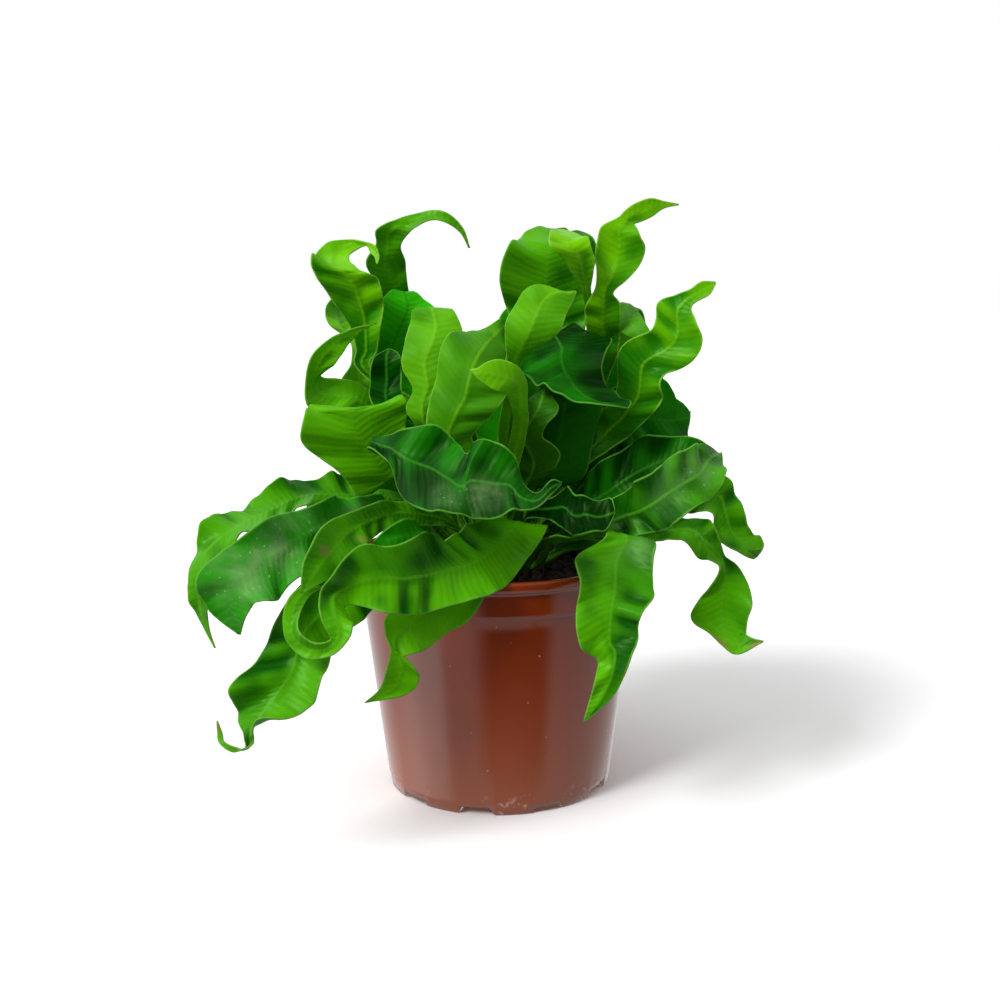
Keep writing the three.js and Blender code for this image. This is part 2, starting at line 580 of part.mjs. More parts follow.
// Closed blade: the middle surface moved out by half the thickness to both faces, split alike on both.
function frondGeometry(frond) {
  const { middle, length, across } = frondSurface(frond);
  const step = frond.plain ? farStepLength : stepLength;
  const steps = Math.max(10, Math.round(length / step));
  const columns = across.length;
  const count = (steps + 1) * columns;
  const positions = new Float32Array(count * 6);
  const reach = 1e-3;
  for (let i = 0; i <= steps; i += 1) {
    for (let j = 0; j < columns; j += 1) {
      const u = i / steps;
      const v = across[j];
      const ahead = middle(Math.min(1, u + reach), v).sub(middle(Math.max(0, u - reach), v));
      const aside = middle(u, Math.min(1, v + 0.05)).sub(middle(u, Math.max(-1, v - 0.05)));
      const normal = aside.cross(ahead).normalize();
      const near = Math.exp(-((u * length / stalkFade) ** 2));
      const lift = (blade + stalkExtra * near) / 2;
      const rib = j === (columns - 1) / 2 ? ribDepth * (1 - smooth(0.6, 1, u)) : 0;
      const here = middle(u, v);
      const at = (i * columns + j) * 3;
      here.clone().addScaledVector(normal, lift).toArray(positions, at);
      here.addScaledVector(normal, -lift - rib).toArray(positions, count * 3 + at);
    }
  }

  const index = [];
  const quad = (a, b, c, d) => index.push(a, b, c, a, c, d);
  const top = (i, j) => i * columns + j;
  const low = (i, j) => count + i * columns + j;
  const last = columns - 1;
  for (let i = 0; i < steps; i += 1) {
    for (let j = 0; j < last; j += 1) {
      quad(top(i, j), top(i, j + 1), top(i + 1, j + 1), top(i + 1, j));
      index.push(low(i, j), low(i + 1, j + 1), low(i, j + 1));
      index.push(low(i, j), low(i + 1, j), low(i + 1, j + 1));
    }
    quad(top(i, 0), top(i + 1, 0), low(i + 1, 0), low(i, 0));
    quad(top(i + 1, last), top(i, last), low(i, last), low(i + 1, last));
  }
  for (let j = 0; j < last; j += 1) {
    quad(top(0, j + 1), top(0, j), low(0, j), low(0, j + 1));
    quad(top(steps, j), top(steps, j + 1), low(steps, j + 1), low(steps, j));
  }
  const geometry = new THREE.BufferGeometry();
  geometry.setAttribute('position', new THREE.BufferAttribute(positions, 3));
  geometry.setIndex(index);
  return geometry;
}

// Straight bar through a stalk's root, a little wider than the stalk: it cuts the plain hole.
function socket(frond) {
  const { start, way, right } = rootOf(frond);
  const clear = 0.5;
  const length = rootLength + 8;
  const half = right.length() + clear;
  const above = (blade + stalkExtra) / 2 + clear;
  const below = above + ribDepth;
  const bar = new THREE.BoxGeometry(2 * half, length, above + below);
  bar.translate(0, length / 2 - clear, (above - below) / 2);
  const aside = right.clone().normalize();
  const up = aside.clone().cross(way);
  const frame = new THREE.Matrix4().makeBasis(aside, way, up).setPosition(start);
  bar.applyMatrix4(frame);
  return solid(bar);
}

function potGeometry() {
  const inner = (height) => {
    const lean = (bandRadius - bandStep - footRadius) / bandBottom;
    return footRadius + lean * height - wall;
  };
  const profile = [
    [0, 0],
    [basePad, 0],
    [basePad + 1.4, footRise],
    [footRadius - footRing - 0.8, footRise],
    [footRadius - footRing, 0],
    [footRadius, 0],
    [bandRadius - bandStep, bandBottom],
    [bandRadius, bandBottom],
    [bandRadius + 0.3, lipBottom - 0.6],
    [lipRadius - 1.2, lipBottom],
    [lipRadius, lipBottom + 1],
    [lipRadius, lipTop - 1],
    [lipRadius - 1, lipTop],
    [lipRadius - 2.4, lipTop],
    [bandRadius - wall, lipBottom - 1],
    [bandRadius - bandStep - wall, bandBottom - 1],
    [inner(footRise + wall), footRise + wall],
    [basePad + 1.2, footRise + wall],
    [basePad - 0.2, wall],
    [0, wall],
  ];
  let body = solid(turned(profile, potSides));
  for (let k = 0; k < notchCount; k += 1) {
    const turn = degrees(notchStart + k * 360 / notchCount);
    const notchHeight = notchHeights[k % notchHeights.length];
    const notch = new THREE.CylinderGeometry(notchWidth / 2 - 1.5, notchWidth / 2 + 1, notchHeight + 2, 4, 1);
    notch.rotateY(Math.PI / 4);
    notch.scale(1.414, 1, 1.3);
    notch.rotateX(Math.PI / 2);
    notch.rotateZ(Math.PI / 2);
    notch.translate(footRadius - footRing / 2, 0, notchHeight / 2 - 1);
    notch.rotateZ(turn);
    body = body.subtract(solid(notch));
  }
  for (let k = 0; k < drainCount; k += 1) {
    const drain = new THREE.CylinderGeometry(drainBore, drainBore, 8, 12);
    drain.rotateX(Math.PI / 2);
    drain.translate(drainRadius, 0, footRise);
    drain.rotateZ(degrees(notchStart + (k + 0.5) * 360 / drainCount));
    body = body.subtract(solid(drain));
  }
  return geometryOf(body);
}

// Potting mix: fills the pot to below the band, with a lumpy top round the flat seat of the crown.
function soilGeometry() {
  const lean = (bandRadius - bandStep - footRadius) / bandBottom;
  const inner = (height) => footRadius + lean * height - wall - seat;
  const profile = [
    [0, wall + seat],
    [basePad - 0.6, wall + seat],
    [basePad + 0.8, footRise + wall + seat],
    [inner(footRise + wall + seat), footRise + wall + seat],
    [inner(bandBottom - 3), bandBottom - 3],
    [inner(bandBottom - 3) - 0.2, soilTop - 1.5],
    [46, soilTop],
    [38, soilTop],
    [30, soilTop],
    [soilFlat, soilTop],
    [0, soilTop],
  ];
  const geometry = turned(profile, 28);
  const places = geometry.attributes.position;
  for (let k = 0; k < places.count; k += 1) {
    const x = places.getX(k);
    const y = places.getY(k);
    const z = places.getZ(k);
    const out = Math.hypot(x, y);
    if (z > soilTop - 0.1 && out > soilFlat + 1) {
      const lumps = Math.sin(0.9 * x + 1.3) * Math.cos(0.8 * y) + 0.6 * Math.sin(0.5 * x - 0.7 * y);
      places.setZ(k, z + soilBump * (0.5 + 0.5 * lumps));
    }
  }
  return geometry;
}

function crownGeometry(grown) {
  const profile = [
    [0, soilTop + seat],
    [crownRadius - 1.5, soilTop + seat],
    [crownRadius, soilTop + 3],
    [crownRadius - 0.6, soilTop + 7],
    [crownRadius - 4, soilTop + 11.5],
    [crownRadius - 8, crownTop - 4],
    [crownRadius - 13, crownTop - 1],
    [0, crownTop],
  ];
  let body = solid(turned(profile, 20));
  for (const frond of grown) body = body.subtract(socket(frond));
  const pieces = body.decompose();
  pieces.sort((a, b) => b.volume() - a.volume());
  return geometryOf(pieces[0]);
}

const group = new THREE.Group();

function place(name, geometry, look) {
  const mesh = new THREE.Mesh(geometry, look);
  mesh.name = name;
  group.add(mesh);
}

const grown = { ...fronds };
for (const [name, far] of Object.entries(farFronds)) {
  grown[name] = { waves: 5, ripple: 2.2, plain: true, ...far, stations: farStations(far) };
}

place('pot', potGeometry(), material(0x8a4632, 0.38));
place('potting_mix', soilGeometry(), material(0x2a1a12, 0.95));
place('crown', crownGeometry(Object.values(grown)), material(0x3a3018, 0.85));
for (const [name, frond] of Object.entries(grown)) {
  place(`frond_${name}`, frondGeometry(frond), material(frond.green, 0.4));
}

export default group;
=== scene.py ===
import math

import bmesh
import bpy
import numpy as np
from mathutils import Matrix, Vector


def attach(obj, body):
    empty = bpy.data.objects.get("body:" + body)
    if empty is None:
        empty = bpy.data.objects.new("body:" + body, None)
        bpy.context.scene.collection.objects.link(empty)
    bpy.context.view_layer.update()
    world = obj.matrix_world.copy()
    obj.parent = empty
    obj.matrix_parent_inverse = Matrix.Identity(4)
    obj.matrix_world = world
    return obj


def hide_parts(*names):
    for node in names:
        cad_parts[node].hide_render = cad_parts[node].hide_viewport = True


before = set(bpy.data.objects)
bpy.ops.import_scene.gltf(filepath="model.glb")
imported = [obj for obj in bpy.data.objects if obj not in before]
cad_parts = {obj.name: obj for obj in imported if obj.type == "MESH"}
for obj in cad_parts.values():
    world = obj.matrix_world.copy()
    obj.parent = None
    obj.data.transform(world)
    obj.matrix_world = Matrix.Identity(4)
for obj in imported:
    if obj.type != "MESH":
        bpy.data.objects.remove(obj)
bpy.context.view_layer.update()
mm = 0.001
print("frame loaded:", len(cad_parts), "nodes")


# Helpers for meshes

# Smooth step: 0 below low, 1 above high, an S-shaped cubic between.
def smooth(low, high, value):
    t = np.clip((value - low) / (high - low), 0.0, 1.0)
    return t * t * (3 - 2 * t)


# Angles of a number of even steps round a full turn.
def turns(count):
    return np.linspace(0, 2 * np.pi, count + 1)[:-1]


# Quads between rings of points, each ring closed on itself.
def ringFaces(rings, around):
    i, j = np.meshgrid(np.arange(rings - 1), np.arange(around), indexing="ij")
    k = (j + 1) % around
    quads = [i * around + j, i * around + k, (i + 1) * around + k, (i + 1) * around + j]
    return np.stack(quads, axis=-1).reshape(-1, 4)


# Triangles from one point to a closed ring of points.
def fan(point, ring):
    return np.stack([np.full(len(ring), point), ring, np.roll(ring, -1)], axis=-1)


# Faces of a closed surface: rings of points, then the point that closes the first ring and the one that
# closes the last. They are turned over where the rings run the other way.
def closedFaces(rings, around, turned=False):
    ring = np.arange(around)
    first = fan(rings * around, ring)
    last = fan(rings * around + 1, ring + (rings - 1) * around)
    if turned:
        return ringFaces(rings, around)[:, ::-1], np.vstack([first, last[:, [0, 2, 1]]])
    return ringFaces(rings, around), np.vstack([first[:, [0, 2, 1]], last])


# An object at the origin, with its place in its mesh, from points in millimetres.
def makeObject(name, points, quads, triangles, material):
    mesh = bpy.data.meshes.new(name)
    mesh.from_pydata((points * mm).tolist(), [], [*quads.tolist(), *triangles.tolist()])
    mesh.materials.append(material)
    piece = bpy.data.objects.new(name, mesh)
    bpy.context.scene.collection.objects.link(piece)
    return piece


# A smooth shaded piece that rides on the one body and stands for its node.
def makePiece(name, points, quads, triangles, material, slot, node):
    piece = makeObject(name, points, quads, triangles, material)
    piece.data.update()
    piece.data.shade_smooth()
    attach(piece, "root")
    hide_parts(node)
    return piece


# Three values kept at each vertex, for the materials to read.
def addAttribute(piece, name, vectors):
    layer = piece.data.attributes.new(name, "FLOAT_VECTOR", "POINT")
    layer.data.foreach_set("vector", np.asarray(vectors, np.float32).ravel())


# Helpers for materials

# An empty material, its nodes, and the Object coordinates that its patterns follow.
def newMaterial(name):
    material = bpy.data.materials.new(name)
    material.use_nodes = True
    tree = material.node_tree
    tree.nodes.clear()
    return material, tree, addNode(tree, "ShaderNodeTexCoord").outputs["Object"]


# A node with its settings, and with each input set to a value or linked to another node.
def addNode(tree, kind, inputs=None, **settings):
    node = tree.nodes.new(kind)
    for key, value in settings.items():
        setattr(node, key, value)
    for key, value in (inputs or {}).items():
        if isinstance(value, bpy.types.NodeSocket):
            tree.links.new(value, node.inputs[key])
        else:
            node.inputs[key].default_value = value
    return node


def calc(tree, operation, first, second=0.0):
    return addNode(tree, "ShaderNodeMath", {0: first, 1: second}, operation=operation).outputs[0]


def times(tree, first, second):
    return calc(tree, "MULTIPLY", first, second)


def plus(tree, first, second):
    return calc(tree, "ADD", first, second)


def vectorCalc(tree, operation, *inputs):
    return addNode(tree, "ShaderNodeVectorMath", dict(enumerate(inputs)), operation=operation).outputs


# A value taken from one range to 0..1 with soft ends.
def fade(tree, value, start, end):
    inputs = {"Value": value, "From Min": start, "From Max": end}
    return addNode(tree, "ShaderNodeMapRange", inputs, interpolation_type="SMOOTHSTEP").outputs["Result"]


# The first of two colours or numbers where the factor is 0, and the second where it is 1.
def blendColour(tree, factor, first, second):
    first, second = (c if isinstance(c, bpy.types.NodeSocket) else (*c, 1) for c in (first, second))
    return addNode(tree, "ShaderNodeMix", {0: factor, 6: first, 7: second}, data_type="RGBA").outputs[2]


def blendNumber(tree, factor, first, second):
    return addNode(tree, "ShaderNodeMix", {0: factor, 2: first, 3: second}, data_type="FLOAT").outputs[0]


def noise(tree, place, scale, detail=3.0, rough=0.55):
    inputs = {"Vector": place, "Scale": scale, "Detail": detail, "Roughness": rough}
    return addNode(tree, "ShaderNodeTexNoise", inputs).outputs["Fac"]


# Patches where a noise of some scale and detail is above a range.
def patches(tree, place, scale, detail, start, end):
    return fade(tree, noise(tree, place, scale, detail), start, end)


# The normal of a relief that is given by its height, with its strength and its depth in metres.
def relief(tree, height, strength, depth):
    inputs = {"Height": height, "Strength": strength, "Distance": depth}
    return addNode(tree, "ShaderNodeBump", inputs).outputs[0]


# The relief of a noise, by the values of a piece's finish.
def grain(tree, place, v):
    return relief(tree, noise(tree, place, *v["reliefNoise"]), v["reliefStrength"], v["reliefDepth"] * mm)


# The three values of an attribute.
def attributeParts(tree, name):
    attribute = addNode(tree, "ShaderNodeAttribute", attribute_name=name)
    return addNode(tree, "ShaderNodeSeparateXYZ", {0: attribute.outputs["Vector"]}).outputs


def principled(tree, colour, rough, inputs=None):
    inputs = {"Base Color": colour, "Roughness": rough, **(inputs or {})}
    return addNode(tree, "ShaderNodeBsdfPrincipled", inputs).outputs[0]


def finishMaterial(tree, shader):
    addNode(tree, "ShaderNodeOutputMaterial", {"Surface": shader})


# Camera, at the photograph's viewing angle

cameraValues = {
    "place": (1.36, -563.5, 218.8),
    "pitch": 0.178,     # radians below level
    "roll": -0.010,     # radians
    "lens": 50.4,
    "sensor": 36.0,
    "clip": (10, 60000),
}


# The camera's axes: ahead is below level by the pitch, and right and above turn about it by the roll.
def addCamera(v):
    pitch, roll = v["pitch"], v["roll"]
    ahead = Vector((0, math.cos(pitch), -math.sin(pitch)))
    level = Vector((1, 0, 0))
    upward = Vector((0, math.sin(pitch), math.cos(pitch)))
    right = math.cos(roll) * level + math.sin(roll) * upward
    above = -math.sin(roll) * level + math.cos(roll) * upward
    data = bpy.data.cameras.new("camera")
    data.lens = v["lens"]
    data.sensor_width = v["sensor"]
    data.clip_start, data.clip_end = (distance * mm for distance in v["clip"])
    camera = bpy.data.objects.new("camera", data)
    turned = Matrix((right, above, -ahead)).transposed().to_4x4()
    camera.matrix_world = Matrix.Translation(Vector(v["place"]) * mm) @ turned
    bpy.context.scene.collection.objects.link(camera)
    bpy.context.scene.camera = camera


addCamera(cameraValues)
bpy.context.scene.view_settings.view_transform = "Standard"
print("camera ready")


# Studio: a pale floor, soft light from above and the sides, a dim side where the viewer stands

studioValues = {
    "floorRings": (80, 400, 1200, 4000),
    "floorSteps": 96,
    "floorColour": (0.9, 0.9, 0.9),
    "floorGrain": 0.985,        # the darker colour in its faint patches, as a share of the other
    "floorRough": 0.7,
    "left": 2.2,                # brightness of the wall on the left, in reflections
    "behind": 1.1,              # of the wall behind
    "right": 0.9,               # of the wall on the right
    "dim": 0.98,                # left of the viewer
    "dark": 0.05,               # round the viewer and to the right
    "rampTop": 3.0,             # brightness that the ramp's white stands for
    "ceiling": 0.65,            # overhead, in reflections
    "ceilingRise": (0.2, 0.75),
    "window": 2.4,              # a bright window overhead, in reflections
    "windowWay": (-0.42, 0.20, 0.88),
    "windowEdge": (0.84, 0.94),
    "near": 0.9,                # in reflections of the floor close by
    "nearEdge": (-0.568, -0.590),
    "low": 0.28,                # soft light from the sides and below
    "high": 1.0,                # and from overhead
    "keyPlace": (-540, -480, 740),
    "keyAim": (0, 0, 130),
    "keyAngle": 24,             # softness of its shadows
    "keyPower": 3.2,
}
# The walls in reflections, by shares of a turn from the left round by the viewer, the right and behind.
studioWalls = [
    (0.0, "left"), (0.095, "left"), (0.112, "dim"), (0.185, "dim"), (0.225, "dark"), (0.365, "dark"),
    (0.395, "right"), (0.62, "right"), (0.75, "behind"), (0.93, "behind"), (1.0, "left"),
]


# A flat disc of rings about the middle.
def addFloor(v):
    turn = turns(v["floorSteps"])
    out = np.array(v["floorRings"], float)[:, None]
    rings = np.stack([out * np.cos(turn), out * np.sin(turn), 0 * out * turn], axis=-1)
    points = np.vstack([rings.reshape(-1, 3), [(0, 0, 0)]])
    triangles = fan(len(points) - 1, np.arange(len(turn)))
    quads = ringFaces(len(out), len(turn))[:, ::-1]
    material, tree, place = newMaterial("paleFloor")
    darker = tuple(c * v["floorGrain"] for c in v["floorColour"])
    colour = blendColour(tree, noise(tree, place, 3.0), v["floorColour"], darker)
    finishMaterial(tree, principled(tree, colour, v["floorRough"]))
    floor = makeObject("paleFloor", points, quads, triangles, material)
    floor.visible_glossy = False
    floor.visible_diffuse = False


# In reflections the brightness goes round with the compass angle near the horizon, and blends into the
# ceiling, the window and the floor close by. Other light rises evenly from low to high. The background
# itself is white.
def addWorld(v):
    world = bpy.data.worlds.new("studio")
    bpy.context.scene.world = world
    world.use_nodes = True
    tree = world.node_tree
    tree.nodes.clear()
    way = addNode(tree, "ShaderNodeTexCoord").outputs["Generated"]
    x, y, z = addNode(tree, "ShaderNodeSeparateXYZ", {0: way}).outputs
    share = calc(tree, "DIVIDE", plus(tree, calc(tree, "ARCTAN2", y, x), math.pi), 2 * math.pi)
    ramp = addNode(tree, "ShaderNodeValToRGB", {"Fac": share})
    bar = ramp.color_ramp
    while len(bar.elements) < len(studioWalls):
        bar.elements.new(0.5)
    for element, (at, wall) in zip(bar.elements, studioWalls):
        element.position = at
        element.color = (*[v[wall] / v["rampTop"]] * 3, 1)
    mirrored = times(tree, ramp.outputs["Color"], v["rampTop"])
    towards = vectorCalc(tree, "DOT_PRODUCT", way, v["windowWay"])["Value"]
    mirrored = blendNumber(tree, fade(tree, z, *v["ceilingRise"]), mirrored, v["ceiling"])
    mirrored = blendNumber(tree, fade(tree, towards, *v["windowEdge"]), mirrored, v["window"])
    mirrored = blendNumber(tree, fade(tree, z, *v["nearEdge"]), mirrored, v["near"])
    soft = blendNumber(tree, fade(tree, z, 0.0, 1.0), v["low"], v["high"])
    rays = addNode(tree, "ShaderNodeLightPath").outputs
    level = blendNumber(tree, rays["Is Glossy Ray"], soft, mirrored)
    lit = addNode(tree, "ShaderNodeBackground", {"Color": (1, 1, 1, 1), "Strength": level})
    plain = addNode(tree, "ShaderNodeBackground", {"Color": (1, 1, 1, 1), "Strength": 1.0})
    both = addNode(tree, "ShaderNodeMixShader", {
        0: rays["Is Camera Ray"], 1: lit.outputs[0], 2: plain.outputs[0]})
    addNode(tree, "ShaderNodeOutputWorld", {"Surface": both.outputs[0]})


# The key light shines evenly from the upper left front, so the floor has no darker far end.
def addKeyLight(v):
    data = bpy.data.lights.new("keyLight", "SUN")
    data.angle = math.radians(v["keyAngle"])
    data.energy = v["keyPower"]
    light = bpy.data.objects.new("keyLight", data)
    light.location = Vector(v["keyPlace"]) * mm
    aim = Vector(v["keyAim"]) * mm - light.location
    light.rotation_euler = aim.to_track_quat("-Z", "Y").to_euler()
    bpy.context.scene.collection.objects.link(light)


addFloor(studioValues)
addWorld(studioValues)
addKeyLight(studioValues)
print("studio ready")


# Leaf finishes

leafLooks = {
    "leaf_bright": {
        "deep": (0.010, 0.160, 0.0005), "fresh": (0.135, 0.480, 0.001), "vein": (0.19, 0.52, 0.01),
        "margin": (0.26, 0.52, 0.05), "under": (0.080, 0.33, 0.003), "through": (0.24, 0.70, 0.001),
        "glow": 0.30, "shine": 0.30},
    "leaf_mid": {
        "deep": (0.002, 0.070, 0.0005), "fresh": (0.062, 0.330, 0.001), "vein": (0.10, 0.38, 0.01),
        "margin": (0.16, 0.40, 0.04), "under": (0.040, 0.220, 0.002), "through": (0.12, 0.58, 0.001),
        "glow": 0.26, "shine": 0.30},
    "leaf_dark": {
        "deep": (0.0004, 0.030, 0.0004), "fresh": (0.007, 0.170, 0.0005), "vein": (0.030, 0.22, 0.01),
        "margin": (0.10, 0.34, 0.03), "under": (0.010, 0.140, 0.001), "through": (0.02, 0.42, 0.001),
        "glow": 0.20, "shine": 0.17},
}
leafFinish = {
    "roughness": 0.27,
    "roughPatches": 0.16,
    "underRough": 0.12,             # how much rougher the underside is
    "ior": 1.38,
    "shineTint": (0.46, 1.0, 0.28),
    "reliefStrength": 0.25,
    "reliefDepth": 0.3,
    "veinSpacing": 2.6,
    "veinSlant": 0.45,
    "veinWobble": 3.0,
    "veinWidth": (0.72, 1.0),       # the part of each wave's crest that is vein
    "marginWidth": 0.65,
    "ribWidth": 0.8,
    "foldShade": 0.27,              # painted light on the crests of the side folds, painted shade between them
    "patchShade": 1.9,              # fresher and deeper green in broad patches
    "patchEdge": 0.34,
    "toneGain": (1.7, 0.9, 0.9),    # how much brighter and yellower a fresher stretch is, painted light included
    "toneLeast": 0.05,
    "sheenAndWater": (0.20, 0.36, 0.13),     # painted sheen on the leaves
    "sheenEven": 0.08,               # its strength everywhere, and what its clouds add
    "sheenClouds": 0.6,
    # noise in the leaf's patterns: scale, detail, and the range where its patches set in
    "wobbleNoise": (90.0,), "broadNoise": (42.0, 2.0), "speckleNoise": (900.0, 2.0), "roughNoise": (120.0,),
    "cloudNoise": (75.0, 4.0, 0.38, 0.66), "speckNoise": (760.0, 1.0, 0.70, 0.78),
    "speck": (0.42, 0.62, 0.40),
    "brown": (0.26, 0.21, 0.05),
    # how strongly each colour covers what is under it
    "veinCover": 0.07, "speckleCover": 0.10, "underCover": 0.55, "ribCover": 0.55, "marginCover": 0.8,
    "throughVein": 0.25,
}


# Leaf: green patches, with painted light on the crests of the side folds and painted shade between them,
# and painted light and shade from the tones; side veins as thin lighter lines that slant towards the tip,
# a pale rib and margin, a greyer underside, a painted sheen in clouds with specks of dried water in it
# and brown nicks where they are marked, and light let through.
def leafMaterial(name, look, v):
    material, tree, place = newMaterial(name)
    along, aside, half = attributeParts(tree, "leafPlace")
    side, tone, fold = attributeParts(tree, "leafLook")
    sheenAndWater, brown, _ = attributeParts(tree, "leafMarks")
    away = calc(tree, "ABSOLUTE", aside)
    margin = fade(tree, calc(tree, "SUBTRACT", half, away), v["marginWidth"], v["marginWidth"] * 0.3)
    rib = fade(tree, away, v["ribWidth"], v["ribWidth"] * 0.4)
    underside = fade(tree, side, 0.2, -0.2)
    slanted = calc(tree, "SUBTRACT", along, times(tree, away, v["veinSlant"]))
    slanted = plus(tree, slanted, times(tree, noise(tree, place, *v["wobbleNoise"]), v["veinWobble"]))
    ridge = calc(tree, "SINE", times(tree, slanted, 2 * math.pi / v["veinSpacing"]))
    vein = fade(tree, ridge, *v["veinWidth"])
    # Painted light on the crests of the side folds and painted shade between them, over the tone.
    shade = plus(tree, tone, times(tree, fold, v["foldShade"]))
    broad = calc(tree, "SUBTRACT", noise(tree, place, *v["broadNoise"]), 0.5)
    broad = times(tree, broad, v["patchShade"])
    patch = fade(tree, plus(tree, broad, shade), -v["patchEdge"], v["patchEdge"])
    speckle = noise(tree, place, *v["speckleNoise"])

    colour = blendColour(tree, patch, look["deep"], look["fresh"])
    # Brighter and yellower where the tone is higher: the frond's own green and its painted light.
    gain = vectorCalc(tree, "MULTIPLY_ADD", tone, v["toneGain"], (1, 1, 1))[0]
    gain = vectorCalc(tree, "MAXIMUM", gain, (v["toneLeast"],) * 3)[0]
    colour = vectorCalc(tree, "MULTIPLY", colour, gain)[0]
    for mask, cover, over in (
            (vein, v["veinCover"], look["vein"]), (speckle, v["speckleCover"], look["deep"]),
            (underside, v["underCover"], look["under"]), (rib, v["ribCover"], look["vein"]),
            (margin, v["marginCover"], look["margin"])):
        colour = blendColour(tree, times(tree, mask, cover), colour, over)
    # Painted sheen in clouds where the leaf is marked, with specks of dried water in it; then brown nicks.
    clouds = times(tree, patches(tree, place, *v["cloudNoise"]), v["sheenClouds"])
    paintedLight = times(tree, sheenAndWater, plus(tree, clouds, v["sheenEven"]))
    specks = times(tree, patches(tree, place, *v["speckNoise"]), sheenAndWater)
    for mask, over in ((paintedLight, v["sheenAndWater"]), (specks, v["speck"]), (brown, v["brown"])):
        colour = blendColour(tree, mask, colour, over)

    rough = times(tree, noise(tree, place, *v["roughNoise"]), v["roughPatches"])
    rough = plus(tree, plus(tree, rough, v["roughness"]), times(tree, underside, v["underRough"]))
    height = plus(tree, times(tree, ridge, 0.5), times(tree, speckle, 0.25))
    normal = relief(tree, height, v["reliefStrength"], v["reliefDepth"] * mm)
    skin = principled(tree, colour, rough, {
        "IOR": v["ior"], "Specular IOR Level": look["shine"], "Specular Tint": (*v["shineTint"], 1),
        "Normal": normal})
    inner = blendColour(tree, times(tree, vein, v["throughVein"]), look["through"], look["vein"])
    lit = addNode(tree, "ShaderNodeBsdfTranslucent", {"Color": inner, "Normal": normal})
    both = addNode(tree, "ShaderNodeMixShader", {0: look["glow"], 1: skin, 2: lit.outputs[0]})
    finishMaterial(tree, both.outputs[0])
    return material


leafMaterials = {name: leafMaterial(name, look, leafFinish) for name, look in leafLooks.items()}
print("leaf finishes ready")


# Fronds

frondValues = {
    "blade": 0.8,           # thickness
    "stalkExtra": 1.5,      # more thickness at the root, gone after stalkFade
    "stalkFade": 20,
    "rootLength": 9,
    "step": 1.15,           # along the frond
    "rows": (60, 190),      # fewest and most along it
    "columns": 27,          # across each face
    "slant": 0.5,           # how far the margin's waves lag behind the midrib's, times the half-width
    "leftShift": 2.3,       # how far the left half's waves are out of step, in radians
    "start": (0.12, 0.34),  # where the waves set in, as shares of the length
    "end": 0.86,            # and from where they die out to the tip
    "fullHalf": 8,          # half-width from which they have their full height
    "crinkle": 0.32,        # finer waves, as a share of the large ones
    "waveRise": 1.6,        # powers by which the waves and the finer ones grow towards the margin
    "crinkleRise": 2.2,
    "sway": 0.07,           # how much the waves widen and narrow the blade
    "gutter": 0.16,         # depth of the hollow along the midrib, times the half-width
    "gutterStart": (0.1, 0.25),
    "fold": 1.25,           # height of the side folds
    "foldSpacing": 13,
    "ribRise": 0.4,         # of the midrib above the upper face
    "ribDepth": 0.7,        # and below the under face
    "ribWidth": 0.9,
    "ribEnd": (0.6, 1),     # where it dies out
    "marginRound": 0.55,    # how far in from the margin the thickness is rounded off
    "tipFrom": 0.965,       # from where the blade thins to the tip, and how much is left there
    "tipLeft": 0.25,
    "farFoot": 100,         # height that the fronds of the far side climb from
    "far": {"waves": 5, "ripple": 2.2, "tonesAndShading": (0, 0, 0)},
}

# Rings of stalks on the crown: radius and height of the root, slope and half-width of the stalk.
stalkRings = {
    "low": {"radius": 15, "height": 91, "rise": 26, "half": 1.9},
    "between": {"radius": 12.8, "height": 94.2, "rise": 38, "half": 1.6},
    "middle": {"radius": 10.4, "height": 97, "rise": 50, "half": 1.6},
    "high": {"radius": 7.2, "height": 100, "rise": 72, "half": 1.3},
}
